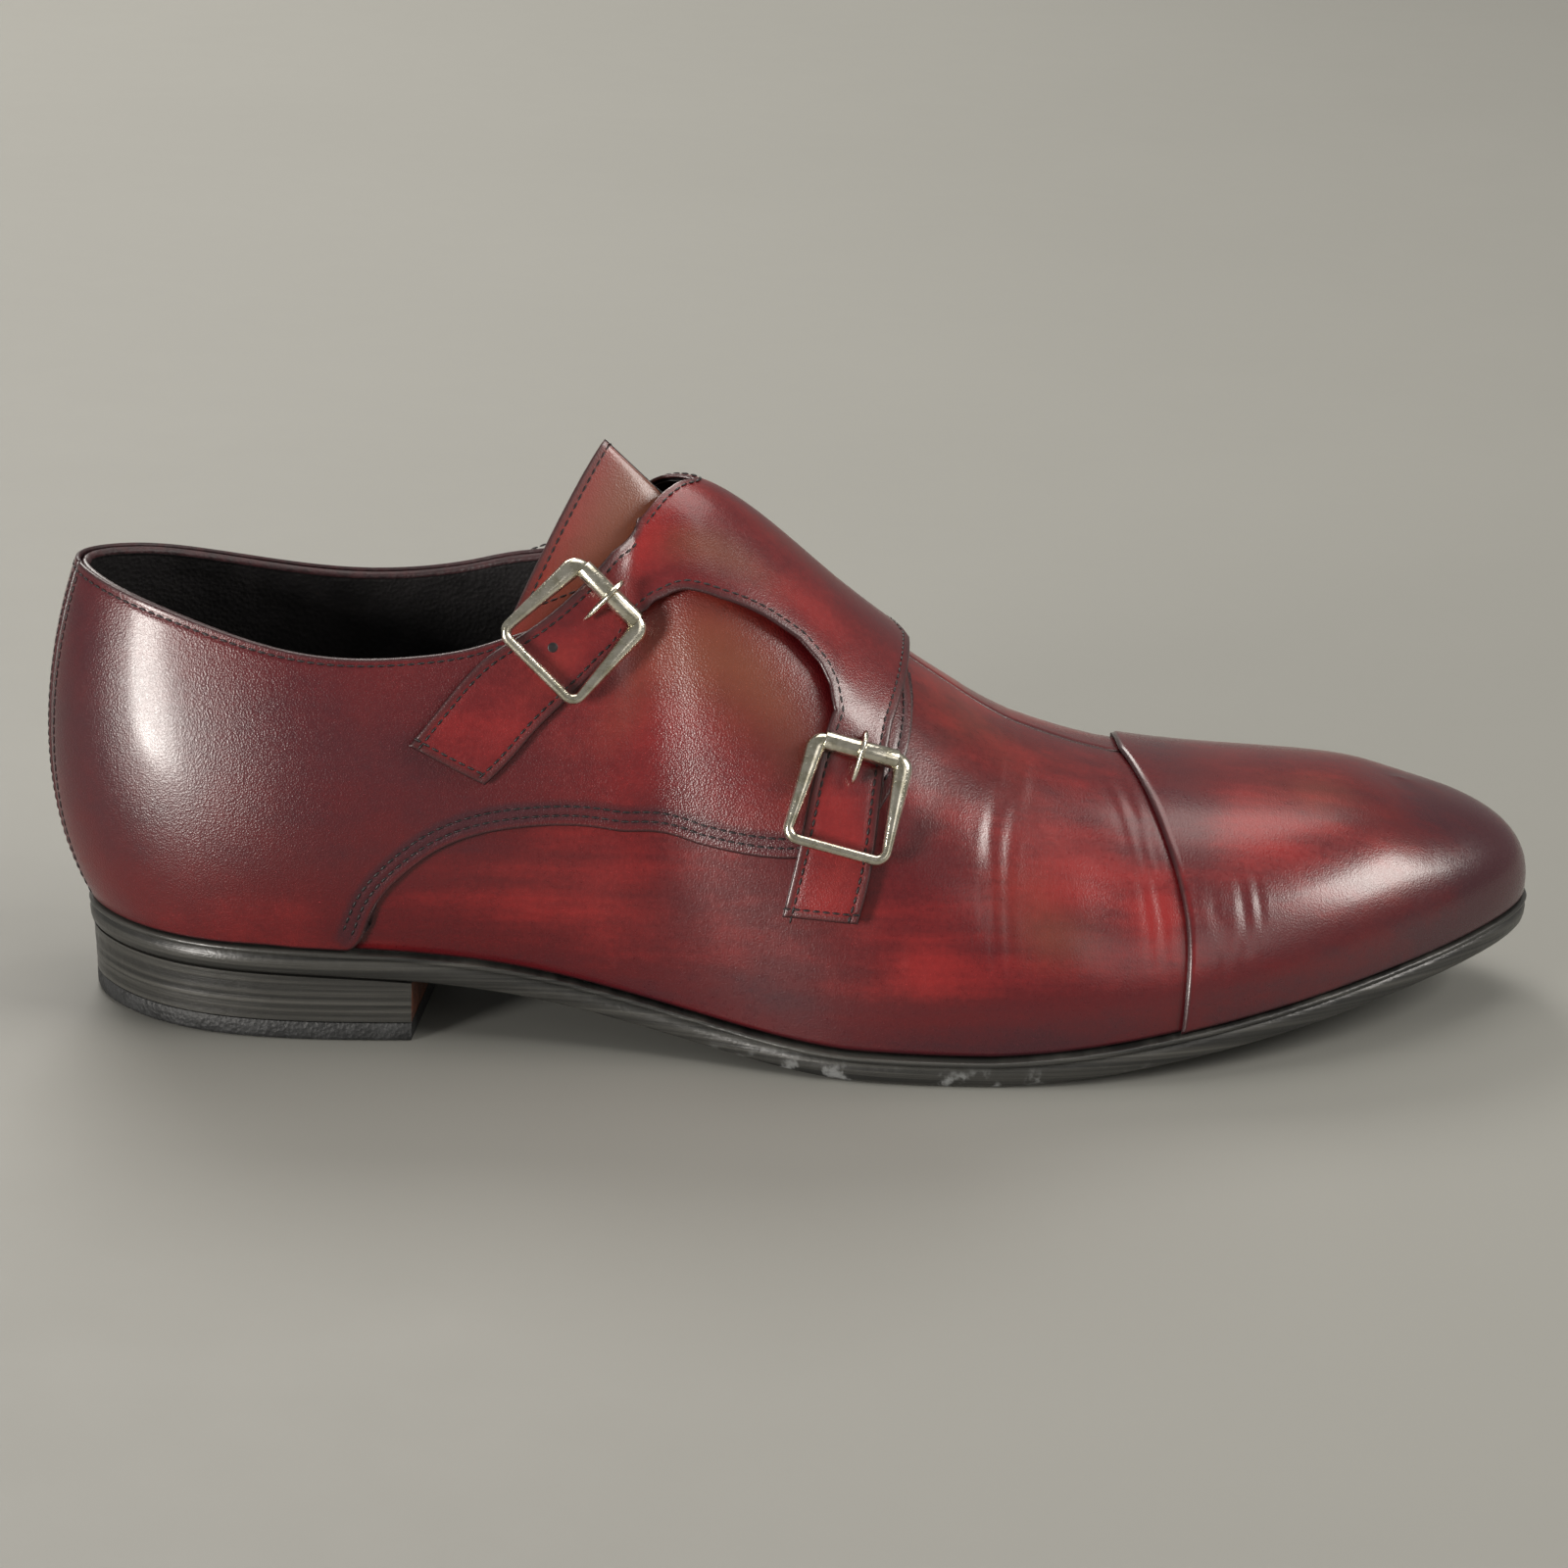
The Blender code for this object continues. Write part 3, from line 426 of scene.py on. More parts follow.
# Columns: the curve's three points s0, c0, s1, c1, s2, c2, then width and depth.
CREASES = (
    (0.640, -0.60, 0.612, 0.10, 0.606, 0.80, 0.0060, 0.00045),
    (0.628, -0.20, 0.618, 0.20, 0.601, 0.50, 0.0009, 0.00016),
    (0.612, 0.30, 0.598, 0.50, 0.603, 0.82, 0.0010, 0.00022),
    (0.620, 0.36, 0.606, 0.56, 0.612, 0.86, 0.0009, 0.00018),
    (0.605, 0.42, 0.592, 0.58, 0.597, 0.74, 0.0008, 0.00016),
    (0.633, 0.10, 0.624, 0.36, 0.611, 0.52, 0.0008, 0.00014),
    (0.636, -0.45, 0.630, -0.10, 0.626, 0.25, 0.0009, 0.00014),
    (0.680, -0.30, 0.690, 0.20, 0.700, 0.62, 0.0010, 0.00020),
    (0.672, 0.05, 0.688, 0.40, 0.697, 0.80, 0.0009, 0.00018),
    (0.686, 0.30, 0.700, 0.55, 0.709, 0.88, 0.0008, 0.00020),
    (0.690, -0.10, 0.700, 0.35, 0.706, 0.70, 0.0008, 0.00014),
    (0.553, 0.62, 0.545, 0.75, 0.541, 0.90, 0.0010, 0.00018),
    (0.562, 0.66, 0.555, 0.78, 0.556, 0.88, 0.0008, 0.00014),
    (0.542, 0.70, 0.535, 0.80, 0.533, 0.92, 0.0010, 0.00016),
    (0.748, 0.52, 0.753, 0.66, 0.757, 0.80, 0.0010, 0.00026),
    (0.757, 0.50, 0.763, 0.64, 0.766, 0.76, 0.0008, 0.00022),
    (0.738, 0.64, 0.743, 0.76, 0.742, 0.90, 0.0010, 0.00024),
    (0.730, 0.55, 0.735, 0.66, 0.737, 0.80, 0.0009, 0.00014),
    (0.585, 0.20, 0.572, 0.45, 0.570, 0.62, 0.0040, 0.00025),
    (0.655, 0.30, 0.648, 0.60, 0.652, 0.85, 0.0050, -0.00030),
)


def distance_to_line(points, line):
    """Distance of each point from a line of short straight pieces, and how far along it lies."""
    start, step = line[:-1], np.diff(line, axis=0)
    best = np.full(len(points), np.inf)
    place = np.zeros(len(points))
    for i, (a, d) in enumerate(zip(start, step)):
        along = np.clip((points - a) @ d / (d @ d), 0, 1)
        away = np.linalg.norm(points - a - along[:, None] * d, axis=-1)
        nearer = away < best
        best = np.where(nearer, away, best)
        place = np.where(nearer, (i + along) / len(step), place)
    return best, place


def relief(s, c):
    """Height of the creases: a Gaussian trough along each curve, a lower ridge on both sides of it,
    and both fading in the shape of a half sine towards the crease's ends."""
    flat = np.stack((s * CHART_LONG, c * CHART_ROUND), -1)
    height = np.zeros(len(flat))
    turn = np.linspace(0, 1, CREASE_POINTS)[:, None]
    for s0, c0, s1, c1, s2, c2, width, depth in CREASES:
        a, b, d = (np.array(p) * (CHART_LONG, CHART_ROUND) for p in ((s0, c0), (s1, c1), (s2, c2)))
        curve = a * (1 - turn) ** 2 + 2 * b * turn * (1 - turn) + d * turn**2
        away, place = distance_to_line(flat, curve)
        fade = np.sin(math.pi * place) ** CREASE_FADE
        x = away / width
        beside = SIDE_RIDGE_HIGH * np.exp(-((x - SIDE_RIDGE_AWAY) ** 2))
        height -= CREASE_DEPTH * depth * fade * (np.exp(-(x**2)) - beside)
    return height


print(len(CREASES), "creases, the deepest", max(row[-1] for row in CREASES))

# %% [markdown]
# ## Where the dye is bright and where it is burnt
# A patina is dyed by hand: bright red in the open, dark where the brush went over edges, heel and
# toe, brown where the first coat shows. One noise over everything would look printed. A short table
# puts each cloud of dye in its place, and the material adds streaks and mottling to it.

# %% Clouds of dye
# Columns: the cloud's middle s and c, its reach along and round, its tone and its warmth.
DYE = (
    (0.02, 0.50, 0.07, 0.80, -0.55, 0.00),
    (0.13, 0.25, 0.09, 0.30, -0.45, 0.05),
    (0.12, 0.55, 0.08, 0.20, -0.20, 0.00),
    (0.10, 0.85, 0.10, 0.14, 0.15, 0.00),
    (0.24, 0.35, 0.06, 0.25, -0.30, 0.00),
    (0.33, 0.42, 0.04, 0.14, -0.05, 0.00),
    (0.40, 0.40, 0.04, 0.10, 0.25, 0.35),
    (0.46, 0.42, 0.04, 0.12, 0.30, 0.65),
    (0.38, 0.56, 0.06, 0.08, 0.25, 0.00),
    (0.50, 0.52, 0.03, 0.10, -0.20, 0.25),
    (0.34, 0.80, 0.10, 0.12, 0.22, -0.20),
    (0.47, 0.78, 0.06, 0.08, -0.10, 0.15),
    (0.40, 0.95, 0.16, 0.08, -0.25, 0.00),
    (0.56, 0.82, 0.04, 0.10, 0.50, 0.00),
    (0.60, 0.55, 0.03, 0.16, 0.30, 0.20),
    (0.64, 0.70, 0.03, 0.10, -0.10, 0.35),
    (0.66, 0.50, 0.03, 0.16, 0.45, 0.10),
    (0.70, 0.62, 0.015, 0.12, 0.70, 0.00),
    (0.60, 0.15, 0.05, 0.20, 0.15, 0.30),
    (0.64, 0.98, 0.16, 0.10, -0.55, 0.00),
    (0.72, 0.10, 0.02, 0.35, -0.35, 0.10),
    (0.77, 0.42, 0.05, 0.16, 0.55, 0.05),
    (0.82, 0.20, 0.06, 0.20, 0.05, 0.30),
    (0.80, 0.75, 0.07, 0.16, -0.15, 0.00),
    (0.86, 0.60, 0.05, 0.14, 0.15, 0.25),
    (0.97, 0.50, 0.07, 0.90, -0.85, 0.10),
    (0.90, 0.95, 0.14, 0.14, -0.50, 0.00),
)
FLAP_DYE = (
    (0.40, 0.18, 0.03, 0.10, 0.40, 0.05),
    (0.45, 0.22, 0.03, 0.06, -0.10, 0.55),
    (0.44, 0.05, 0.05, 0.06, 0.35, 0.10),
    (0.50, 0.22, 0.03, 0.07, 0.45, 0.05),
    (0.50, 0.02, 0.05, 0.07, -0.35, 0.20),
    (0.53, 0.30, 0.02, 0.08, 0.15, 0.00),
    (0.34, 0.16, 0.03, 0.08, 0.30, 0.20),
    (0.28, 0.22, 0.04, 0.14, 0.35, 0.00),
    (0.51, 0.60, 0.03, 0.12, 0.35, 0.10),
    (0.50, 0.75, 0.02, 0.05, 0.30, 0.00),
)


def dye(s, c, table):
    """Tone and warmth at places of the chart: each cloud adds its share with a Gaussian fall-off."""
    out = np.zeros((len(s), 2))
    for s0, c0, long, wide, tone, warm in table:
        share = np.exp(-(((s - s0) / long) ** 2) - ((np.abs(c) - c0) / wide) ** 2)
        out += share[:, None] * (tone, warm)
    return out


# %% [markdown]
# ## A sheet of leather
# Each piece of the upper is cut flat, its edge thinned and folded, and laid on the last. In Blender
# it is a grid of places in the chart, put on the last at the piece's own height. Its edge is rounded
# by how far each point lies from the cut, and Solidify gives the wall its thickness. So all pieces
# share one form, and none cuts through the next.

# %% Helpers for sheets
ROOT = "root"
EDGE_ROUND = 0.0006
SEAM_SINK = 0.00016
SEAM_WIDE = 0.0005
BAND_DARK = 0.55
PROBE = 0.001
THIN_SHARE = 0.05
BATCH = 400
MM = 1000


def crowd(count, pull=0.6):
    """Shares from 0 to 1 that lie closer together at both ends."""
    even = np.linspace(0, 1, count)
    return even - pull * np.sin(2 * math.pi * even) / (2 * math.pi)


def on_last(s, c, lift):
    """A place of the chart in the row frame."""
    return last_point(s, c, lift) + ORIGIN


def quads_of(count_i, count_j, start=0):
    """The quads of a grid of points, row by row."""
    first = start + (np.arange(count_i - 1)[:, None] * count_j + np.arange(count_j - 1)).ravel()
    return np.stack((first, first + 1, first + count_j + 1, first + count_j), -1)


def welded(points, quads):
    """Which points to keep so that those that coincide are one, and the quads on them."""
    whole = np.round(points / SAME_PLACE).astype(np.int64)
    _, keep, same = np.unique(whole, axis=0, return_index=True, return_inverse=True)
    return keep, same.ravel()[quads]


def rim_points(points, quads):
    """The points on edges that only one face has."""
    edges = np.concatenate([quads[:, [i, (i + 1) % 4]] for i in range(4)])
    edges = edges[edges[:, 0] != edges[:, 1]]
    edges, count = np.unique(np.sort(edges, axis=1), axis=0, return_counts=True)
    return points[np.unique(edges[count == 1])]


def nearest(points, targets):
    """Distance of each point from the nearest target."""
    parts = np.array_split(points, len(points) // BATCH + 1)
    return np.concatenate([np.sqrt(((part[:, None] - targets) ** 2).sum(-1).min(1)) for part in parts])


def mesh_piece(name, points, quads, materials, slot, node=None, face_material=None, dye_and_highlight=None):
    """A mesh from arrays. A quad with two equal corners becomes a triangle."""
    equal = quads == np.roll(quads, -1, axis=1)
    whole = ~equal.any(1)
    bent = equal.sum(1) == 1
    triangles = quads[bent][~equal[bent]].reshape(-1, 3)
    corners = np.concatenate((quads[whole].ravel(), triangles.ravel()))
    sizes = np.concatenate((np.full(whole.sum(), 4), np.full(len(triangles), 3)))
    mesh = bpy.data.meshes.new(name)
    mesh.vertices.add(len(points))
    mesh.vertices.foreach_set("co", np.ascontiguousarray(points, dtype=np.float32).ravel())
    mesh.loops.add(len(corners))
    mesh.loops.foreach_set("vertex_index", corners.astype(np.int32))
    mesh.polygons.add(len(sizes))
    mesh.polygons.foreach_set("loop_start", (np.cumsum(sizes) - sizes).astype(np.int32))
    if face_material is not None:
        order = np.concatenate((face_material[whole], face_material[bent]))
        mesh.polygons.foreach_set("material_index", order.astype(np.int32))
    mesh.update(calc_edges=True)
    if dye_and_highlight is not None:
        layer = mesh.attributes.new("dye_and_highlight", "FLOAT_VECTOR", "POINT")
        layer.data.foreach_set("vector", dye_and_highlight.astype(np.float32).ravel())
    mesh.shade_smooth()
    piece = bpy.data.objects.new(name, mesh)
    bpy.context.scene.collection.objects.link(piece)
    for material in materials:
        mesh.materials.append(material)
    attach(piece, ROOT)
    if node:
        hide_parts(*([node] if isinstance(node, str) else node))
    return piece


def facing(points, quads, outward):
    """For each quad how far its face looks along the outward direction at its first corner."""
    corner = points[quads]
    turn = np.cross(corner[:, 2] - corner[:, 0], corner[:, 3] - corner[:, 1])
    return (turn * outward[quads[:, 0]]).sum(-1)


def walled(piece, thickness):
    """The wall grows inwards from the outer face, with the lining inside and the cut edge between."""
    wall = piece.modifiers.new("wall", "SOLIDIFY")
    wall.thickness = thickness
    wall.offset = -1
    wall.material_offset = 1
    wall.material_offset_rim = 2
    return piece


def leather(name, patches, top, thickness, materials, node=None, seams=(), clouds=DYE, band=0, rise=None):
    """A leather piece from grids of chart places. Its outer face lies at the height top, lowered near
    the cut edge by a quarter circle and along each seam by a Gaussian groove."""
    start = np.cumsum([0] + [s.size for s, _ in patches])
    quads = np.concatenate([quads_of(*s.shape, start[i]) for i, (s, _) in enumerate(patches)])
    s = np.concatenate([s.ravel() for s, _ in patches])
    c = np.concatenate([c.ravel() for _, c in patches])
    flat = on_last(s, c, top)
    keep, quads = welded(flat, quads)
    s, c, flat = s[keep], c[keep], flat[keep]
    inwards = facing(flat, quads, on_last(s, c, top + PROBE) - flat) < 0
    quads = np.where(inwards[:, None], quads[:, ::-1], quads)
    edge = nearest(flat, rim_points(flat, quads))
    lift = top + relief(s, c)
    if rise:
        lift += rise(flat)
    lift -= EDGE_ROUND - np.sqrt(np.maximum(EDGE_ROUND**2 - np.maximum(EDGE_ROUND - edge, 0) ** 2, 0))
    if seams:
        away = nearest(flat, np.concatenate([row for row, _ in seams]))
        lift -= SEAM_SINK * np.exp(-((away / SEAM_WIDE) ** 2))
    clouded = dye(s, c, clouds)
    if band:
        low = np.concatenate([row for row, _ in seams[:2]])
        clouded[:, 0] -= BAND_DARK * np.exp(-((nearest(flat, low) / band) ** 4))
    dye_and_highlight = np.column_stack((clouded, edge * MM))
    piece = mesh_piece(name, on_last(s, c, lift), quads, materials, "burgundy leather", node, dye_and_highlight=dye_and_highlight)
    print(name, len(quads), "faces")
    return walled(piece, thickness)


def thin_wall(piece, weights):
    """Makes the wall thinner where the sheet folds tightly, so its inner face stays inside."""
    group = piece.vertex_groups.new(name="wall")
    weights = np.round(weights, 1)
    for level in np.unique(weights):
        group.add(np.flatnonzero(weights == level).tolist(), level, "REPLACE")
    piece.modifiers["wall"].vertex_group = "wall"
    piece.modifiers["wall"].thickness_vertex_group = THIN_SHARE


# %% [markdown]
# ## Lines and stitches
# A seam runs at an even distance from its edge, so its line is the edge's own line moved sideways
# over the surface. Each stitch is a short fat spindle of thread with a few dozen faces, and one mesh
# holds all rows of a piece, made as one array.

# %% Helpers for seams
STITCH_STEP = 0.0020
STITCH_LONG = 0.0016
STITCH_THICK = 0.00050
STITCH_SINK = -0.00006
NORMAL_PASSES = 24
THREAD_SIDES = 6
THREAD_RINGS = 5
THREAD_TAPER = 0.92
SAFE = 1e-12


def seam(line, by, top):
    """Points and normals beside a chart line: each is moved sideways, to the left of its run seen
    from outside, along the cross product of the normal and the line's direction. Each normal is
    first averaged with its neighbours, half its own and a quarter of each, several times."""
    s, c = line
    here = on_last(s, c, top)
    normal = unit(on_last(s, c, top + PROBE) - here)
    for _ in range(NORMAL_PASSES):
        normal[1:-1] = unit(normal[:-2] + 2 * normal[1:-1] + normal[2:])
    along = unit(np.gradient(here, axis=0) + (0, 0, SAFE))
    return here + np.cross(normal, along) * by, normal


def threads(name, rows_of_points, material):
    """Stitches along rows of (points, normals): each is a spindle, six round and five along."""
    angle = np.arange(THREAD_SIDES) * 2 * math.pi / THREAD_SIDES
    spread, ring = np.meshgrid(np.linspace(-1, 1, THREAD_RINGS), angle, indexing="ij")
    radius = np.sqrt(1 - THREAD_TAPER * spread**2) * STITCH_THICK / 2
    shape = np.stack((spread * STITCH_LONG / 2, radius * np.cos(ring), radius * np.sin(ring)), -1)
    shape = shape.reshape(-1, 3)
    all_points = []
    for points, normals in rows_of_points:
        run = np.concatenate(([0], np.cumsum(np.linalg.norm(np.diff(points, axis=0), axis=1))))
        at = np.arange(STITCH_STEP / 2, run[-1], STITCH_STEP)
        centre = np.stack([np.interp(at, run, points[:, i]) for i in range(3)], -1)
        up = unit(np.stack([np.interp(at, run, normals[:, i]) for i in range(3)], -1))
        centre = centre + up * STITCH_SINK
        along = unit(np.gradient(centre, axis=0))
        frame_of = np.stack((along, np.cross(up, along), up), -2)
        all_points.append(centre[:, None] + np.einsum("kj,njx->nkx", shape, frame_of))
    points = np.concatenate(all_points)
    i, j = np.meshgrid(np.arange(THREAD_RINGS - 1), np.arange(THREAD_SIDES), indexing="ij")
    a, b = i * THREAD_SIDES + j, i * THREAD_SIDES + (j + 1) % THREAD_SIDES
    one = [np.stack((a, a + THREAD_SIDES, b + THREAD_SIDES, b), -1).reshape(-1, 4)]
    for i, turn in ((0, 1), ((THREAD_RINGS - 1) * THREAD_SIDES, -1)):
        one.append(np.array(((0, 1, 2, 3), (0, 3, 4, 5)))[:, ::turn] + i)
    quads = (np.arange(len(points))[:, None, None] * len(shape) + np.concatenate(one)).reshape(-1, 4)
    mesh_piece(name, points.reshape(-1, 3), quads[:, ::-1], [material], "black lining leather")
    print(name, len(points), "stitches")


def joined_meshes(parts):
    """Several meshes, each given as points and quads, as one."""
    start = np.cumsum([0] + [len(points) for points, _ in parts])
    quads = [quads + start[i] for i, (_, quads) in enumerate(parts)]
    return np.concatenate([points for points, _ in parts]), np.concatenate(quads)


# %% [markdown]
# ## Shader maths in Python
# A material is a net of nodes. Written one node at a time it is hard to read, so a small class wraps
# one socket, and adding or multiplying two of them adds the Math node that does it.

# %% The Field class


class Field:
    """A number or colour that changes over a surface, held as a socket of a material's nodes."""

    def __init__(self, tree, socket=None):
        self.tree = tree
        self.socket = socket

    def node(self, kind, settings=(), sockets=(), out=0):
        """A new node of a kind: settings first, then the values or links of its sockets."""
        new = self.tree.nodes.new(kind)
        for name, value in dict(settings).items():
            setattr(new, name, value)
        for name, value in dict(sockets).items():
            if isinstance(value, Field):
                self.tree.links.new(value.socket, new.inputs[name])
            else:
                new.inputs[name].default_value = value
        return Field(self.tree, new.outputs[out])

    def maths(self, operation, *values):
        return self.node("ShaderNodeMath", {"operation": operation}, enumerate(values))

    def __add__(self, other):
        return self.maths("ADD", self, other)

    __radd__ = __add__

    def __sub__(self, other):
        return self.maths("SUBTRACT", self, other)

    def __mul__(self, other):
        return self.maths("MULTIPLY", self, other)

    def between(self, low, high):
        """0 below low, 1 above high, and a smooth step between them."""
        sockets = {"Value": self, "From Min": low, "From Max": high}
        return self.node("ShaderNodeMapRange", {"interpolation_type": "SMOOTHSTEP"}, sockets)

    def mixed(self, first, second):
        """The colour first where this field is 0, and second where it is 1."""
        return self.node("ShaderNodeMix", {"data_type": "RGBA"}, {0: self, 6: first, 7: second}, 2)

    def stretched(self, x, y, z):
        """A vector field with its three axes scaled."""
        return self.node("ShaderNodeVectorMath", {"operation": "MULTIPLY"}, {0: self, 1: (x, y, z)})

    def noise(self, scale, detail=3.0, rough=0.5):
        """Soft noise over a vector field, about 0 to 1."""
        sockets = {"Vector": self, "Scale": scale, "Detail": detail, "Roughness": rough}
        return self.node("ShaderNodeTexNoise", {}, sockets)

    def cells(self, scale):
        """Distance from the middle of small cells, for pebbled grain."""
        sockets = {"Vector": self, "Scale": scale, "Smoothness": 0.4}
        return self.node("ShaderNodeTexVoronoi", {"feature": "SMOOTH_F1"}, sockets)


def colour(red, green, blue):
    """A colour given as it looks on a screen, 0 to 255, in the linear values that nodes use."""
    share = np.array((red, green, blue)) / 255
    linear = np.where(share <= 0.04045, share / 12.92, ((share + 0.055) / 1.055) ** 2.4)
    return (*linear.tolist(), 1.0)


def new_paint(name):
    """A new material: its shader node, and a field to start expressions from."""
    material = bpy.data.materials.new(name)
    material.use_nodes = True
    return material, material.node_tree.nodes["Principled BSDF"], Field(material.node_tree)


def joined(field, shader, socket):
    field.tree.links.new(field.socket, shader.inputs[socket])


def bumped(paint, shader, height, distance, strength=1.0):
    """The shader's normal, tilted by a height field."""
    sockets = {"Height": height, "Distance": distance, "Strength": strength}
    joined(paint.node("ShaderNodeBump", {}, sockets), shader, "Normal")


# %% [markdown]
# ## Patina leather
# Box calf is dyed in thin coats and waxed, so it has three layers: a base colour that streaks
# lengthwise, a darker burnish over edges, and a thin clear polish. The base mixes four dyes by the
# clouds set above, streaks are noise pulled long, and the grain is a bump of small cells. The bare
# numbers in these expressions are weights, limits and noise scales, chosen beside the photo.

# %% Leather finishes
BRIGHT = colour(130, 27, 27)
DEEP = colour(80, 12, 18)
BURNT = colour(58, 20, 28)
BROWN = colour(106, 58, 40)
EDGE_INK = colour(36, 17, 20)


def patina(name, streak, grain, gloss, burnish):
    """Burgundy leather: streak is how much it is brushed, grain how pebbled, gloss its roughness,
    burnish how many millimetres of its edge are inked."""
    material, shader, paint = new_paint(name)
    where = paint.node("ShaderNodeTexCoord", out="Object")
    dye_and_highlight = paint.node("ShaderNodeAttribute", {"attribute_name": "dye_and_highlight"}, out="Vector")
    # tone and warm hold the dye clouds, and on the tongue also a painted highlight.
    tone, warm, edge = (paint.node("ShaderNodeSeparateXYZ", {}, {0: dye_and_highlight}, i) for i in range(3))
    brush = where.stretched(16, 170, 170).noise(1.0, 4.0, 0.6)
    cloud = where.noise(38.0, 4.0, 0.6)
    speck = where.noise(900.0, 2.0, 0.6)
    level = tone + (brush - 0.5) * streak + (cloud - 0.5) * 1.1 + (speck - 0.5) * 0.35 + 0.10
    base = level.between(-0.05, 0.85).mixed(DEEP, BRIGHT)
    base = level.between(0.10, -0.75).mixed(base, BURNT)
    base = (warm + (cloud - 0.5) * 0.5).between(0.05, 0.9).mixed(base, BROWN)
    ink = edge.between(burnish, burnish * 0.5) * 0.55 + edge.between(0.7, 0.3) * 0.3
    base = ink.mixed(base, EDGE_INK)
    joined(base, shader, "Base Color")
    joined(gloss + (cloud - 0.5) * 0.16 + (speck - 0.5) * 0.12 + ink * 0.12, shader, "Roughness")
    shader.inputs["Coat Weight"].default_value = 0.35
    shader.inputs["Coat Roughness"].default_value = 0.18
    pebble = where.cells(2600.0) * grain + where.noise(3200.0, 2.0) * 0.4 * grain
    wrinkle = where.stretched(900, 260, 260).noise(1.0, 4.0, 0.7)
    bumped(paint, shader, pebble + wrinkle * 0.4, 0.00008)
    return material


smooth_calf = patina("patina calf, brushed", 1.2, 0.35, 0.29, 1.2)
pebbled_calf = patina("patina calf, pebbled", 0.35, 0.9, 0.33, 1.0)
strap_calf = patina("patina calf, straps", 0.5, 0.6, 0.32, 1.9)


def plain_leather(name, base, other, rough, scale, depth):
    """Leather of one dye: mottled a little, with fine grain."""
    material, shader, paint = new_paint(name)
    where = paint.node("ShaderNodeTexCoord", out="Object")
    mottle = where.noise(scale, 4.0, 0.6)
    joined(mottle.between(0.3, 0.7).mixed(base, other), shader, "Base Color")
    joined(rough + (mottle - 0.5) * 0.2, shader, "Roughness")
    bumped(paint, shader, where.cells(1100.0) + where.noise(2500.0, 2.0) * 0.5, depth)
    return material


SOFT_BLACKS = colour(16, 15, 16), colour(30, 28, 29)
INKS = colour(34, 16, 20), colour(58, 24, 28)
THREAD_BLACKS = colour(14, 8, 10), colour(26, 14, 17)
lining_leather = plain_leather("black lining leather, soft", *SOFT_BLACKS, 0.62, 120.0, 0.00015)
cut_edge = plain_leather("inked cut edge", *INKS, 0.55, 400.0, 0.0001)
thread_black = plain_leather("waxed thread", *THREAD_BLACKS, 0.5, 900.0, 0.00005)
shoe_leather = [smooth_calf, lining_leather, cut_edge]

# %% [markdown]
# ## The upper
# The lasted shell under everything: vamp in front, lining inside. Its outer face carries the
# creases, so the grid is finest between the buckles and the cap.

# %% The upper's shell
# Where rows lie closer: the place's share, how wide, and how many times closer.
DENSE_ROWS = ((0.66, 0.10, 2.2), (0.0, 0.05, 1.2), (1.0, 0.04, 1.2))


def side_of_upper(side, count_s, count_c):
    """One side, from the feather edge to the top line, the throat or the ridge. Rows crowd where the
    vamp creases: the share is bent by a smooth bump round the ball."""
    even = np.linspace(0, 1, count_s)
    dense = 1 + sum(more * np.exp(-(((even - at) / wide) ** 2)) for at, wide, more in DENSE_ROWS)
    place = np.concatenate(([0], np.cumsum((dense[1:] + dense[:-1]) / 2)))
    s = np.interp(np.linspace(0, place[-1], count_s), place, even)
    s, v = np.meshgrid(s, crowd(count_c, 0.3), indexing="ij")
    edge = throat_edge(s)
    return s, side * np.maximum(edge + (1 - edge) * v, HAIR)


upper_patches = [side_of_upper(1, 230, 96), side_of_upper(-1, 150, 60)]
leather("vamp_and_lining", upper_patches, 0.0, WALL, shoe_leather, "upper")

# %% [markdown]
# ## The toe cap
# A straight cap is a second piece over the toe, its edge folded under, with a groove where it meets
# the vamp. It has its own grid from the seam to the toe's tip, because its creases are its own.

# %% The cap
TIP_PULL = 1.25
c, a = np.meshgrid(np.linspace(-1, 1, 190), 1 - np.linspace(1, 0, 130) ** TIP_PULL, indexing="ij")
edge_c, edge_s = (column(CAP_EDGE, CAP_COLUMNS, name) for name in CAP_COLUMNS)
cap_start = cubic_spline(edge_c, edge_s, c)[..., 0]
cap_patch = (cap_start + (1 - cap_start) * a, c)
leather("cap", [cap_patch], OVERLAY_GAP + OVERLAY, OVERLAY, shoe_leather, "toe_cap")

# %% [markdown]
# ## The quarters
# Each quarter wraps from the back seam to its stitched front edge. Its lower edge sweeps up from the
# sole in a long curve with two rows of stitches in a burnished band.

# %% Quarter grids and seam lines
QUARTER_TOP = OVERLAY_GAP + OVERLAY
BAND = 0.0013
FIRST_ROW, SECOND_ROW = 0.0022, 0.0041
COLLAR_ROW = 0.024
BACK_ROW = 0.005
SWEEP_END = 0.985
SECOND_ROW_END = 0.50
COLLAR_ROW_END = 0.345
TOP_FADE = 0.1
S_WEIGHT = 3


def quarter_grid(side, table, seam, count_along, count_up):
    """Between the lower and the upper edge of a quarter, both smooth lines through short tables."""
    table = np.asarray(((seam, 1.0, seam),) + table, float)
    steps = np.linalg.norm(np.diff(table, axis=0) * (S_WEIGHT, 1, S_WEIGHT), axis=1)
    knots = np.concatenate(([0], np.cumsum(steps)))
    along = cubic_spline(knots, table, knots[-1] * crowd(count_along, 0.4))
    up = crowd(count_up, 0.7)[None, :]
    low_s, low_c, top_s = (along[:, i : i + 1] for i in range(3))
    top_c = throat_edge(top_s) + QUARTER_TOP_FRONT * smooth_step((top_s - COLLAR_END) / TOP_FADE)
    low_c = np.minimum(low_c, 1)
    return low_s + (top_s - low_s) * up, side * np.maximum(low_c + (top_c - low_c) * up, HAIR)


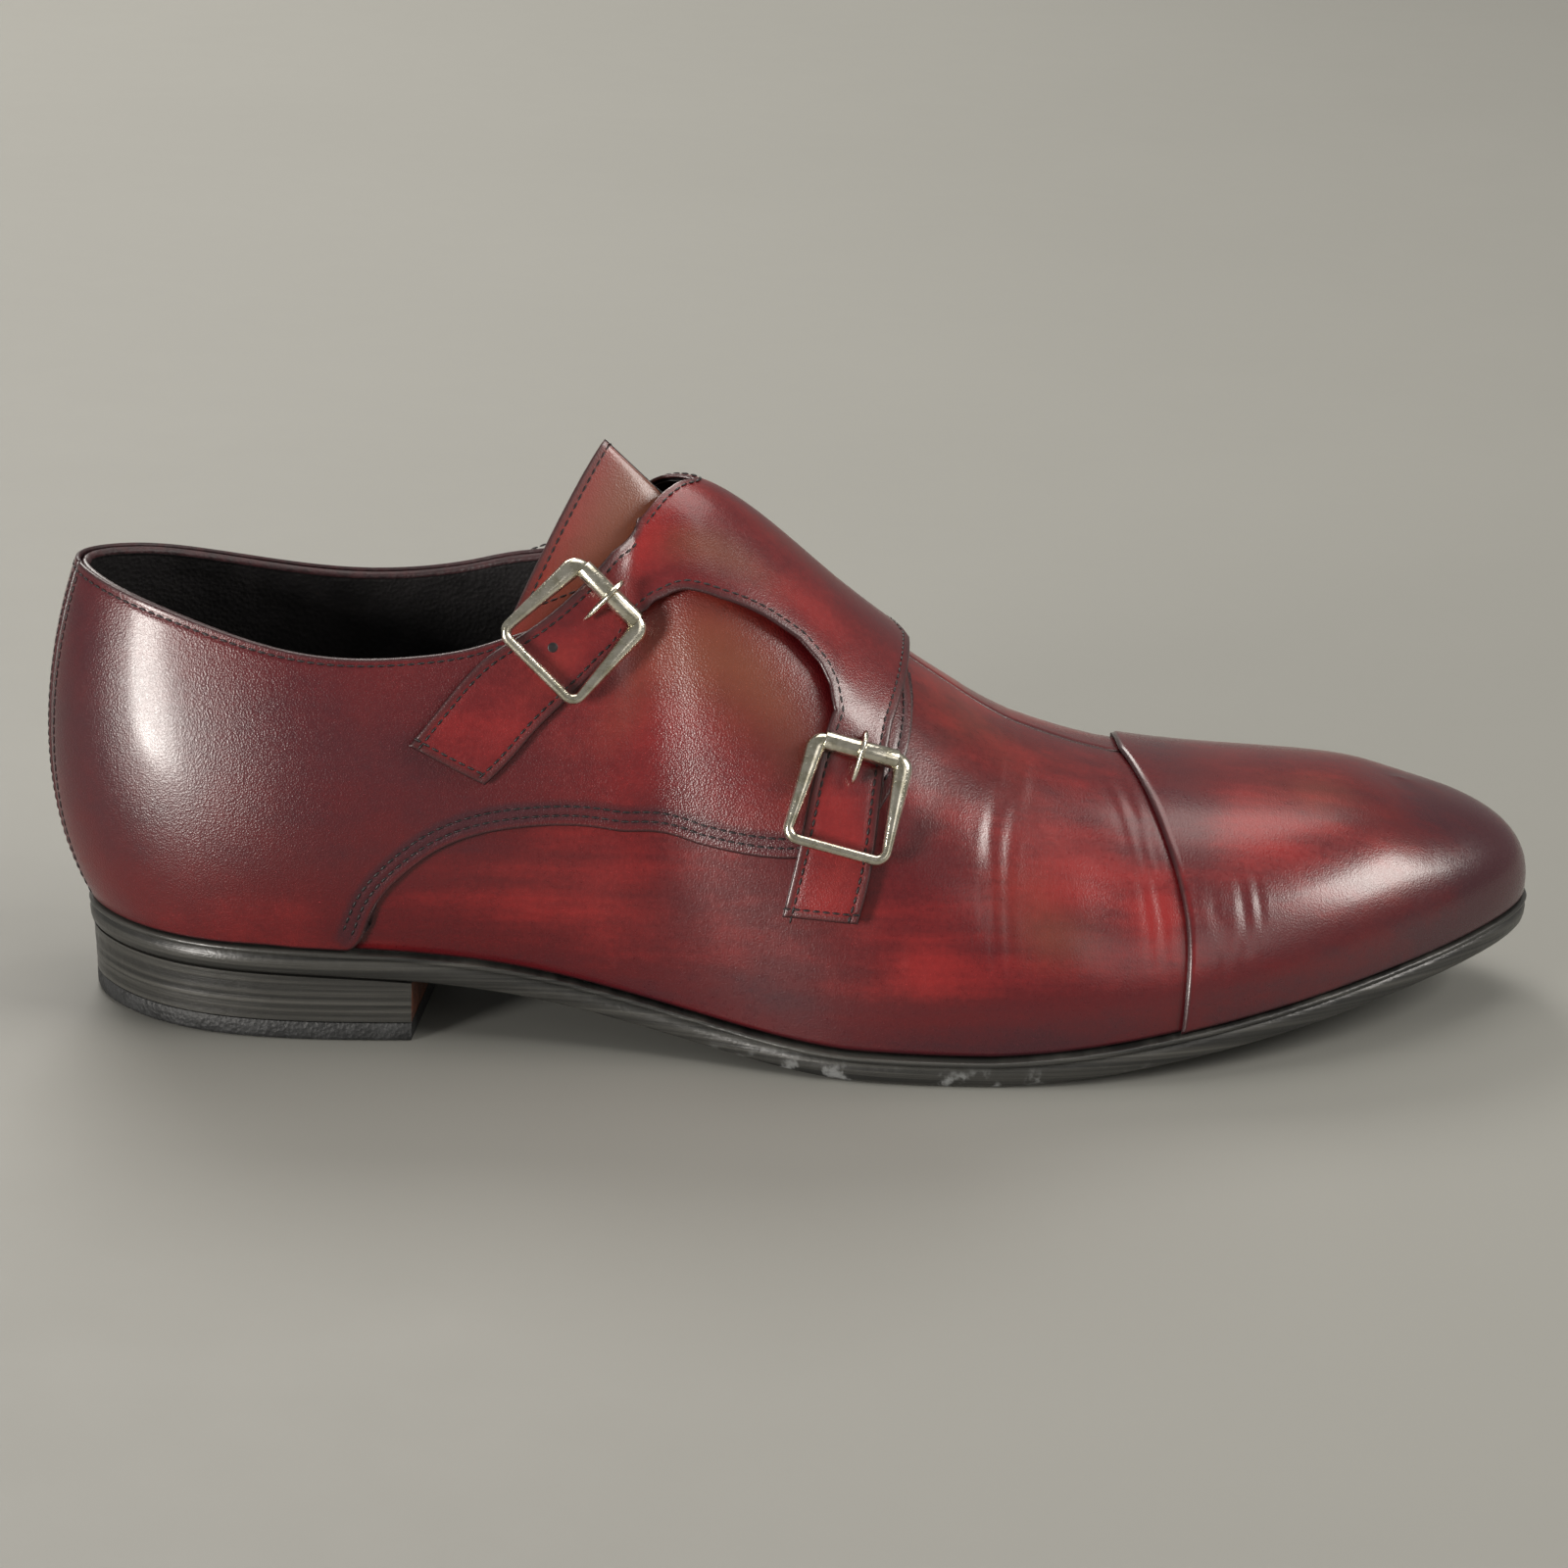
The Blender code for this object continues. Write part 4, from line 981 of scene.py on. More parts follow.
def quarter_lines(grid, side, top):
    """Stitch rows: two along the lower sweep, the second only up to SECOND_ROW_END, the first on round
    the front; one under the top line and one by the back seam."""
    s, c = grid
    sweep = np.abs(c[:, 0]) < SWEEP_END
    lines = [seam((s[sweep, 0], c[sweep, 0]), side * FIRST_ROW, top)]
    inner = sweep & (s[:, 0] < SECOND_ROW_END)
    lines.append(seam((s[inner, 0], c[inner, 0]), side * SECOND_ROW, top))
    collar = s[s[:, -1] < COLLAR_ROW_END, -1]
    lines.append(seam((collar, np.full_like(collar, side * COLLAR_ROW)), 0, top))
    rise = side * np.linspace(0.97, 0.04, 120)
    lines.append(seam((np.full_like(rise, s[0, 0] + BACK_ROW), rise), 0, top))
    return lines


# %% The quarters themselves
quarter_leather = [pebbled_calf, cut_edge, cut_edge]
quarter_rows = []
for name, node, side, table, seam_at, rows in (
    ("quarter_outer_side", "lateral_quarter", 1, LATERAL_QUARTER, BACK_SEAM + SEAM_GAP, (250, 90)),
    ("quarter_inner_side", "medial_quarter", -1, MEDIAL_QUARTER, -BACK_SEAM, (200, 70)),
):
    grid = quarter_grid(side, table, seam_at, *rows)
    lines = quarter_lines(grid, side, QUARTER_TOP)
    leather(name, [grid], QUARTER_TOP, OVERLAY, quarter_leather, node, lines, band=BAND)
    quarter_rows += lines
threads("quarter_stitches", quarter_rows, thread_black)

# %% [markdown]
# ## The flap and its straps
# The inner quarter runs on over the instep as a flap that ends in two straps, cut from one piece,
# so it is one mesh: four patches that share their edges, welded into one sheet before its edge is
# rounded.

# %% Flap patches


def ribbon(table, across, count, pull):
    """A band between two edges given in a short table, with the shares of its width."""
    table = np.asarray(table, float)
    steps = np.linalg.norm(np.diff(table, axis=0) * (S_WEIGHT, 1, S_WEIGHT, 1), axis=1)
    knots = np.concatenate(([0], np.cumsum(steps)))
    even = np.linspace(0, 1, count)
    share = 1 - (1 - even) ** pull
    along = cubic_spline(knots, table, knots[-1] * share)
    return tuple(along[:, i : i + 1] * (1 - across) + along[:, i + 2 : i + 3] * across for i in range(2))


def flap_end(across, down):
    """The part from the ridge to the lateral end, filled in between its four edges (a Coons patch)."""
    places = column(FLAP_END, END_COLUMNS, "share")
    ends = np.array([row[1:] for row in FLAP_END])
    end = np.stack([np.interp(across, places, ends[:, i]) for i in range(2)], -1)
    rears = np.array([row[1:] for row in FLAP_REAR])
    rear = cubic_spline(column(FLAP_REAR, END_COLUMNS, "share"), rears, down)[:, None]
    rear = np.maximum(rear, HAIR)
    ridge_rear, ridge_front = rears[0], np.array(FLAP[-1][2:])
    b, a = down[:, None, None], across[None, :, None]
    ridge = ridge_rear + (ridge_front - ridge_rear) * a
    front = ridge_front + (end[-1] - ridge_front) * b + np.array((FLAP_SWELL, 0)) * 4 * b * (1 - b)
    corners = (1 - a) * ((1 - b) * ridge_rear + b * end[0]) + a * ((1 - b) * ridge_front + b * end[-1])
    patch = (1 - b) * ridge + b * end[None] + (1 - a) * rear + a * front - corners
    return patch[..., 0], patch[..., 1]


STRAP_COUNT, GAP_COUNT = 26, 60
FLAP_ROW = 0.0019
rear_share = REAR_ROOT * crowd(STRAP_COUNT, 0.7)
gap_share = REAR_ROOT + (FRONT_ROOT - REAR_ROOT) * np.linspace(0, 1, GAP_COUNT)
front_share = FRONT_ROOT + (1 - FRONT_ROOT) * crowd(STRAP_COUNT, 0.7)
flap_across = np.concatenate((rear_share, gap_share[1:-1], front_share))
flap_patches = [
    ribbon(FLAP, flap_across, 70, 1.0),
    flap_end(flap_across, 1 - (1 - np.linspace(0, 1, 60)) ** 1.5),
    ribbon(REAR_STRAP, rear_share / REAR_ROOT, 80, 1.3),
    ribbon(FRONT_STRAP, (front_share - FRONT_ROOT) / (1 - FRONT_ROOT), 70, 1.3),
]
FLAP_TOP = OVERLAY_GAP + OVERLAY + STRAP_GAP + STRAP_THICKNESS
HOLLOW_HIGH = 0.0013
HOLLOW_WIDE = 0.007
THROAT_FOLD = (0.395, 0.08)


def edge_lines(patches):
    """The flap's outline as chart lines: rear edge, tip, cut-out, tip and front edge."""
    main, end, rear, front = patches
    gap = slice(STRAP_COUNT - 1, STRAP_COUNT + GAP_COUNT - 1)
    join = [np.concatenate((main[i][:, 0], end[i][1:, 0], rear[i][1:, 0])) for i in range(2)]
    back = [np.concatenate((rear[i][::-1, -1], end[i][-1, gap][1:-1], front[i][:, 0])) for i in range(2)]
    fore = [np.concatenate((main[i][:, -1], end[i][1:, -1], front[i][1:, -1])) for i in range(2)]
    tips = [[patch[i][-1] for i in range(2)] for patch in (rear, front)]
    return [(join, 1), (back, 1), (fore, -1), (tips[0], 1), (tips[1], 1)]


cut_out = on_last(*(part[-1, STRAP_COUNT:-STRAP_COUNT] for part in flap_patches[1]), FLAP_TOP)


def flap_rise(points):
    """The flap stands off the foot round its cut-out: a Gaussian of the distance from that edge."""
    return HOLLOW_HIGH * np.exp(-((nearest(points, cut_out) / HOLLOW_WIDE) ** 2))


flap_lines = []
for line, side in edge_lines(flap_patches):
    row, normals = seam(line, FLAP_ROW * side, FLAP_TOP)
    flap_lines.append((row + normals * flap_rise(row)[:, None], normals))
flap_leather = [strap_calf, lining_leather, cut_edge]
looks = {"node": "strap_flap", "seams": flap_lines, "clouds": FLAP_DYE, "rise": flap_rise}
flap = leather("flap_and_straps", flap_patches, FLAP_TOP, STRAP_THICKNESS, flap_leather, **looks)
fold = on_last(*np.array(THROAT_FOLD)[:, None], FLAP_TOP)
flap_at = np.array([v.co for v in flap.data.vertices])
thin_wall(flap, 1 - np.exp(-((nearest(flap_at, fold) / HOLLOW_WIDE) ** 2)))
threads("flap_stitches", flap_lines, thread_black)

# %% [markdown]
# Each strap has punched holes for the prong. A hole that shows is a short dark plug with a rim, let
# into the strap's face, so no hole has to be cut through the sheet. Its dark is painted shade for the hole's
# depth.

# %% Strap holes
# Each hole: s, c and its radius. Each ring of the plug: its radius in shares of that, its height.
HOLES = ((0.335, 0.110, 0.00075), (0.527, 0.380, 0.00055))
PLUG = np.array(((1.45, -0.00005), (1.2, 0.00010), (0.95, 0.00006), (0.5, 0.00003), (0.0, 0.00003)))
PLUG_SIDES = 16


def dimple(s, c, radius):
    """A round plug seen from above: a raised rim, then a cone down to its middle."""
    here = on_last(s, c, FLAP_TOP)
    normal = unit(on_last(s, c, FLAP_TOP + PROBE) - here)
    along = unit(on_last(s + PROBE, c, FLAP_TOP) - here)
    across = np.cross(normal, along)
    out, up = (PLUG[:, i, None, None] for i in range(2))
    turn = np.arange(PLUG_SIDES)[None, :, None] * 2 * math.pi / PLUG_SIDES
    points = here + out * radius * (np.cos(turn) * along + np.sin(turn) * across) + up * normal
    i, j = np.meshgrid(np.arange(len(PLUG) - 1), np.arange(PLUG_SIDES), indexing="ij")
    a, b = i * PLUG_SIDES + j, i * PLUG_SIDES + (j + 1) % PLUG_SIDES
    return points.reshape(-1, 3), np.stack((a, b, b + PLUG_SIDES, a + PLUG_SIDES), -1).reshape(-1, 4)


hole_points, hole_quads = joined_meshes([dimple(*row) for row in HOLES])
hole_keep, hole_quads = welded(hole_points, hole_quads)
# The plugs take the black thread's colour: painted shade for the inside of each hole.
mesh_piece("strap_holes", hole_points[hole_keep], hole_quads, [thread_black], "black lining leather")

# %% [markdown]
# ## The tongue
# It lies under the flap and stands out of the throat to a rounded point. Below the ridge's start it
# follows the last, and above it carries straight on, its middle higher than its corners.

# %% The tongue
TONGUE_CURL = 0.5
CREST_WIDE = 0.3
SIDE_ROW, TIP_ROW = 0.88, 1.93
ROW_LIFT = 0.0001


def tongue_point(t, b, lift):
    """t runs from the root 0 through the collar's end at 1 to the tip 2, b across from -1 to 1."""
    on = np.minimum(t, 1)
    s = TONGUE_ROOT + (RIDGE_START - TONGUE_ROOT) * on
    low = -WALL - 2 * CLEARANCE - TONGUE_SINK * smooth_step(on)
    point = on_last(s, b * TONGUE_HALF, low + lift)
    spread = (np.hypot(b, TONGUE_CURL) - TONGUE_CURL) / (math.hypot(1, TONGUE_CURL) - TONGUE_CURL)
    spread = spread[..., None]
    corner = np.where(b[..., None] > 0, LATERAL_CORNER, MEDIAL_CORNER)
    out = np.array(TONGUE_TIP) * (1 - spread) + corner * spread
    return point + out * np.maximum(t - 1, 0)[..., None]


t, b = np.meshgrid(2 * crowd(110, 0.3), 2 * crowd(80, 0.4) - 1, indexing="ij")
points = tongue_point(t, b, 0.0).reshape(-1, 3)
outward = tongue_point(t, b, PROBE).reshape(-1, 3) - points
quads = quads_of(*t.shape)
quads = quads if facing(points, quads, outward).sum() > 0 else quads[:, ::-1]
tongue_edge = nearest(points, rim_points(points, quads))
# Tone and warmth along the tongue: its olive-brown middle is its dye, and the lighter brown band round t 1.3
# is partly a painted highlight.
tone = 0.7 * np.abs(t.ravel() - 1.45) + 0.1
warm = 0.9 - 0.9 * np.abs(t.ravel() - 1.3)
looks = {"node": "tongue", "dye_and_highlight": np.column_stack((tone, warm, tongue_edge * MM))}
tongue = mesh_piece("tongue_leather", points, quads, flap_leather, "burgundy leather", **looks)
walled(tongue, TONGUE_THICKNESS)
crest = np.exp(-((b / CREST_WIDE) ** 2)) * np.clip(3 * (t - 1), 0, 1)
thin_wall(tongue, 1 - crest.ravel())
even = np.linspace(0, 1, 160)
up_side = 0.9 + 1.02 * even
tongue_rows = []
for t_line, b_line in (
    (np.full_like(even, TIP_ROW), SIDE_ROW * (2 * even - 1)),
    (up_side, np.full_like(even, SIDE_ROW)),
    (up_side, np.full_like(even, -SIDE_ROW)),
):
    row = tongue_point(t_line, b_line, ROW_LIFT)
    tongue_rows.append((row, unit(tongue_point(t_line, b_line, ROW_LIFT + PROBE) - row + (SAFE, 0, 0))))
threads("tongue_stitches", tongue_rows, thread_black)

# %% [markdown]
# ## Sole and heel
# The sole's side is trimmed, inked and waxed: a bead at the welt, a groove under it and a flat edge.
# It is a profile carried round the foot's outline, and so is each lift of the heel.

# %% Sole and heel bodies
SHARP = math.radians(50)
HEEL_REACH = 0.5


def underfoot(name, node, stations, profile, heights, materials, slot="blackened leather", breast=0):
    """A solid under the foot: rings round the outline, each further out by its profile and at its
    own height, closed by bands across at the top and the bottom. Faces at the ring's turn in front
    take the material numbered breast."""
    rings = []
    for out, height in zip(profile, heights):
        sides = []
        for w in (stations[0], 2 - stations[1]):
            foot, _, _, _, normal = ribs_at(w)
            plan = foot[:, :2] + normal * out
            sides.append(np.column_stack((plan, height(plan[:, 0]))))
        rings.append(np.concatenate((sides[0], sides[1][::-1])))
    count, ring, levels = len(stations[0]), 2 * len(stations[0]), len(profile)
    points = np.concatenate(rings) + ORIGIN
    level, i = np.meshgrid(np.arange(levels - 1), np.arange(ring), indexing="ij")
    a, b = level * ring + i, level * ring + (i + 1) % ring
    side_quads = np.stack((a, a + ring, b + ring, b), -1).reshape(-1, 4)
    i = np.arange(count - 1)
    cap_quads = np.stack((i, i + 1, ring - 2 - i, ring - 1 - i), -1)
    quads = np.concatenate((side_quads, cap_quads, cap_quads[:, ::-1] + (levels - 1) * ring))
    which = np.zeros(len(quads), int)
    which[: len(side_quads)][(np.arange(len(side_quads)) % ring) == count - 1] = breast
    keep, quads = welded(points, quads)
    piece = mesh_piece(name, points[keep], quads, materials, slot, node, which)
    piece.data.set_sharp_from_angle(angle=SHARP)
    print(name, len(quads), "faces")


def place_at(x, side):
    """The place on the last whose foot is at the distance x along the given side."""
    s = np.linspace(0, HEEL_REACH, 400)
    foot_x = ribs_at(s if side > 0 else 2 - s)[0][:, 0]
    return np.interp(x, foot_x, s)


# %% Black edges, rubber and raw leather


def inked_edge(name):
    """Black wax over leather: brushed lengthwise, scuffed grey low down round the ball."""
    material, shader, paint = new_paint(name)
    where = paint.node("ShaderNodeTexCoord", out="Object")
    height = paint.node("ShaderNodeSeparateXYZ", {}, {0: where}, 2)
    x = paint.node("ShaderNodeSeparateXYZ", {}, {0: where}, 0)
    lines = where.stretched(9, 9, 900).noise(1.0, 4.0, 0.6)
    blotch = where.noise(160.0, 4.0, 0.65)
    scuff = blotch.between(0.52, 0.66) * height.between(0.0052, 0.001) * x.between(-0.06, 0.0)
    base = (lines.between(0.35, 0.75) * 0.75).mixed(colour(32, 32, 31), colour(78, 77, 73))
    base = (scuff * 0.7).mixed(base, colour(132, 134, 134))
    joined(base, shader, "Base Color")
    joined(0.34 + (blotch - 0.5) * 0.3 + scuff * 0.3, shader, "Roughness")
    bumped(paint, shader, lines * 0.6 + blotch, 0.00025)
    return material


edge_black = inked_edge("inked sole edge")
lift_black = inked_edge("inked heel lifts")
rubber_black = plain_leather("black rubber, worn", colour(24, 25, 26), colour(44, 45, 46), 0.6, 200.0, 0.0002)
raw_leather = plain_leather("raw leather breast", colour(112, 62, 40), colour(70, 40, 28), 0.7, 240.0, 0.0003)

# %% The outsole
# The side of the sole from its top to its underside: how far out of the margin, and how far down.
SOLE_SIDE = (
    (-0.0009, 0.0),
    (0.0, 0.0),
    (0.0003, 0.0002),
    (0.0004, 0.0006),
    (0.0002, 0.0010),
    (-0.0004, 0.0013),
    (-0.0001, 0.0017),
    (0.0002, 0.0026),
    (0.0001, 0.0038),
    (-0.0002, 0.0048),
    (-0.0006, 0.0053),
    (-0.0011, SOLE_THICKNESS),
)
sole_stations = (crowd(260, 0.4), crowd(260, 0.4))
sole_profile = [SOLE_MARGIN + out for out, _ in SOLE_SIDE]
sole_heights = [lambda x, d=down: feather_height(x) - d for _, down in SOLE_SIDE]
underfoot("sole_leather", "outsole", sole_stations, sole_profile, sole_heights, [edge_black])

# %% The heel
HEEL_INSET = 0.0006
SKEW_PLACE = 0.01
LIFT_LEVELS = 13
LINE_EVERY = 4
LINE_DEEP = 0.00005
back = RIBS[0, 0]
middle = place_at(HEEL_LENGTH + SKEW_PLACE, 1)
skew = abs(ribs_at(middle)[0][1]) * math.tan(BREAST_SKEW)
share = 1 - np.cos(np.linspace(0, math.pi / 2, 90))
heel_stations = tuple(share * place_at(back + HEEL_LENGTH - side * skew, side) for side in (1, -1))
heel_out = SOLE_MARGIN - HEEL_INSET
level = np.linspace(0, 1, LIFT_LEVELS)
line = LINE_DEEP * (np.arange(LIFT_LEVELS) % LINE_EVERY == 2)


def stack_height(share):
    """Height over x of a level of the stack, from the sole's underside at 0 to the top piece at 1."""
    low = (TOP_PIECE + CLEARANCE) * share
    return lambda x: (feather_height(x) - SOLE_THICKNESS - CLEARANCE) * (1 - share) + low


lift_out = heel_out - HEEL_TAPER * level - line
lift_heights = [stack_height(v) for v in level]
lift_leather = [lift_black, raw_leather]
underfoot("heel_lifts", "heel_stack", heel_stations, lift_out, lift_heights, lift_leather, breast=1)
# The side of the top piece from its upper face to the floor: how far in, and how far down.
TOP_PIECE_SIDE = ((0.0002, 0.0), (0.0, 0.0006), (0.0001, 0.0030), (0.0004, 0.0037), (0.0010, TOP_PIECE))
piece_out = [heel_out - HEEL_TAPER - inset for inset, _ in TOP_PIECE_SIDE]
piece_heights = [lambda x, z=TOP_PIECE - down: np.full_like(x, z) for _, down in TOP_PIECE_SIDE]
piece_look = [rubber_black], "black rubber"
underfoot("heel_top", "heel_top_piece", heel_stations, piece_out, piece_heights, *piece_look)

# %% [markdown]
# ## Buckles
# Cast frames, polished: a thick roller bar at the strap's start, arms that thin towards a light bar,
# and a prong looped round the roller. Each is an ellipse carried along a path.

# %% Polished metal


def polished(name):
    """Pale gilt metal, a little clouded, with fine scratches."""
    material, shader, paint = new_paint(name)
    where = paint.node("ShaderNodeTexCoord", out="Object")
    cloud = where.noise(350.0, 3.0, 0.6)
    scratch = where.stretched(1, 1, 6).noise(900.0, 2.0, 0.6)
    joined(cloud.between(0.35, 0.7).mixed(colour(226, 221, 206), colour(186, 181, 160)), shader, "Base Color")
    joined(0.14 + scratch.between(0.45, 0.8) * 0.16 + (cloud - 0.5) * 0.1, shader, "Roughness")
    shader.inputs["Metallic"].default_value = 1.0
    bumped(paint, shader, scratch, 0.00003)
    return material


gilt = polished("polished pale gilt")

# %% Buckle frames and prongs
TUBE_SIDES = 14
CORNER = 0.0022
CORNER_POINTS, ARM_POINTS, HOOK_POINTS = 9, 12, 24
ARM_BOW = 0.0004
PIN = 0.0008
SAME_END = 2e-7
# The roller on the thick bar: places along it in shares of its half length, and its radius.
ROLLER = np.array(((-0.84, 0.9), (-0.84, 1.14), (-0.82, 1.20), (0.82, 1.20), (0.84, 1.14), (0.84, 0.9)))
# The prong beyond its hook: how far on, how high in shares of the bend, and its two radii.
PRONG_END = ((0.0010, 0.5, 1.35, 0.8), (0.0025, 0.2, 1.25, 0.7), (0.0040, 0.0, 0.7, 0.4))


def tube(path, radius_side, radius_up, closed, up, sides=TUBE_SIDES):
    """An ellipse carried along a path: across it by radius_side, along up by radius_up."""
    count = len(path)
    if closed:
        along = np.roll(path, -1, 0) - np.roll(path, 1, 0)
    else:
        along = np.gradient(path, axis=0)
    across = unit(np.cross(up, unit(along)))
    upward = np.cross(unit(along), across)
    angle = np.arange(sides) * 2 * math.pi / sides
    ring = across[:, None] * (np.cos(angle)[:, None]) * radius_side[:, None, None]
    ring = ring + upward[:, None] * (np.sin(angle)[:, None]) * radius_up[:, None, None]
    points = (path[:, None] + ring).reshape(-1, 3)
    i, j = np.meshgrid(np.arange(count if closed else count - 1), np.arange(sides), indexing="ij")
    a, b = i * sides + j, i * sides + (j + 1) % sides
    after, after_b = (a + sides) % (count * sides), (b + sides) % (count * sides)
    quads = np.stack((a, after, after_b, b), -1).reshape(-1, 4)
    if not closed:
        points = np.concatenate((points, path[[0, -1]]))
        j = np.arange(sides)
        middle = np.full(sides, count * sides)
        first = np.stack((j, (j + 1) % sides, middle, middle), -1)
        last = first[:, [1, 0, 2, 3]] + ((count - 1) * sides, (count - 1) * sides, 1, 1)
        quads = np.concatenate((quads, first, last))
    return points, quads


def buckle_matrix(places, lift):
    """The buckle's frame on its strap: X from the thick to the thin bar, Z off the strap."""
    thick, thin = (on_last(*place, lift) for place in places)
    middle = np.mean(places, axis=0)
    normal = normal_at(middle[0], 1 - middle[1])
    along = unit(thin - thick)
    normal = unit(normal - along * (normal @ along))
    return np.column_stack((along, np.cross(normal, along), normal)), thick


def frame_loop(thick, thin):
    """Half of the frame's loop with its two radii: a corner at the thick bar, an arm that narrows and
    bows up a little, and a corner at the thin bar. The other half mirrors it."""
    half = BUCKLE_WIDTH / 2
    length = BUCKLE_LENGTH - thick - thin
    end, start = half - thin * 0.6, half - thick
    angle = np.linspace(0, math.pi / 2, CORNER_POINTS)
    near, far = CORNER * (1 - np.cos(angle)), CORNER * (1 - np.sin(angle))
    first = np.column_stack((near, start - far, angle * 0))
    share = np.linspace(0, 1, ARM_POINTS)[1:-1]
    x = CORNER + (length - 2 * CORNER) * share
    arm = np.column_stack((x, start + (end - start) * share, ARM_BOW * np.sin(math.pi * share)))
    last = np.column_stack((length - far, end - near, angle * 0))
    loop = np.concatenate((first, arm, last))
    shoulder = thick * (0.85 + 0.35 * np.sin(angle))
    narrow = np.full(CORNER_POINTS, thin)
    wide = np.concatenate((shoulder, thick * 1.2 + (thin - thick * 1.2) * share**0.8, narrow))
    arm_deep = thick * 0.8 + (thin - thick * 0.8) * share
    deep = np.concatenate((np.full(CORNER_POINTS, thick * 0.85), arm_deep, narrow))
    mirrored = (np.concatenate((row, row[::-1])) for row in (wide, deep))
    return np.concatenate((loop, loop[::-1] * (1, -1, 1))), *mirrored


def buckle(name, places):
    """Frame with a roller on the thick bar, and the prong that is looped round it."""
    turn, origin = buckle_matrix(places, FLAP_TOP + BUCKLE_LIFT + BUCKLE_BAR / 2)
    thick, thin = BUCKLE_BAR / 2, BUCKLE_WIRE / 2
    up, aside = np.array((0, 0, 1.0)), np.array((0, 1.0, 0))
    roller = (ROLLER[:, :1] * (BUCKLE_WIDTH / 2 - thick) + np.arange(len(ROLLER))[:, None] * SAME_END) * aside
    bar = thick * ROLLER[:, 1]
    frame_parts = [tube(*frame_loop(thick, thin), True, up), tube(roller, bar, bar, False, up)]
    points, quads = joined_meshes(frame_parts)
    mesh_piece(name + "_frame_cast", points @ turn.T + origin, quads, [gilt], "pale metal", name + "_frame")
    bend = thick * 1.1 + CLEARANCE + PIN
    a = np.linspace(0.9, math.pi * 1.15, HOOK_POINTS)
    hook = np.column_stack((-bend * np.sin(a), a * 0, -bend * np.cos(a)))
    tip = np.array([(bend + on, 0, bend * high) for on, high, _, _ in PRONG_END])
    wide = PIN * np.concatenate((np.full(HOOK_POINTS, 1.4), [row[2] for row in PRONG_END]))
    deep = PIN * np.concatenate((np.full(HOOK_POINTS, 0.8), [row[3] for row in PRONG_END]))
    points, quads = tube(np.concatenate((hook, tip)), wide, deep, False, aside)
    mesh_piece(name + "_prong_pin", points @ turn.T + origin, quads, [gilt], "pale metal", name + "_prong")


buckle("rear_buckle", REAR_BUCKLE)
buckle("front_buckle", FRONT_BUCKLE)

# %% [markdown]
# ## Carried-over pieces
# The insole keeps its solid, with the lining's leather on it.

# %% The insole's leather
nodes["insole"].data.materials.clear()
nodes["insole"].data.materials.append(lining_leather)

# %% [markdown]
# ## Floor, light and camera
# A grey floor and six soft lamps: one above, one at the toe's side, a window of light and a low one
# at the heel's side, a faint fill in front, and one for the floor behind. The camera has a long lens,
# as far off as the photograph's small perspective asks.

# %% Floor
material, shader, paint = new_paint("grey paper floor")
where = paint.node("ShaderNodeTexCoord", out="Object")
FLOOR_TONES = colour(126, 126, 121), colour(133, 133, 128)
joined(where.noise(3.0, 3.0).mixed(*FLOOR_TONES), shader, "Base Color")
joined(0.6 + (where.noise(40.0, 3.0) - 0.5) * 0.1, shader, "Roughness")
mesh = bpy.data.meshes.new("floor")
mesh.from_pydata([(-4, -4, 0), (4, -4, 0), (4, 6, 0), (-4, 6, 0)], [], [(0, 1, 2, 3)])
mesh.materials.append(material)
floor = bpy.data.objects.new("floor", mesh)
bpy.context.scene.collection.objects.link(floor)

# %% Lights
WARM_LIGHT = (1.0, 0.955, 0.90)
ROOM_LIGHT = (1.0, 0.98, 0.93, 1)
ROOM_POWER = 0.25
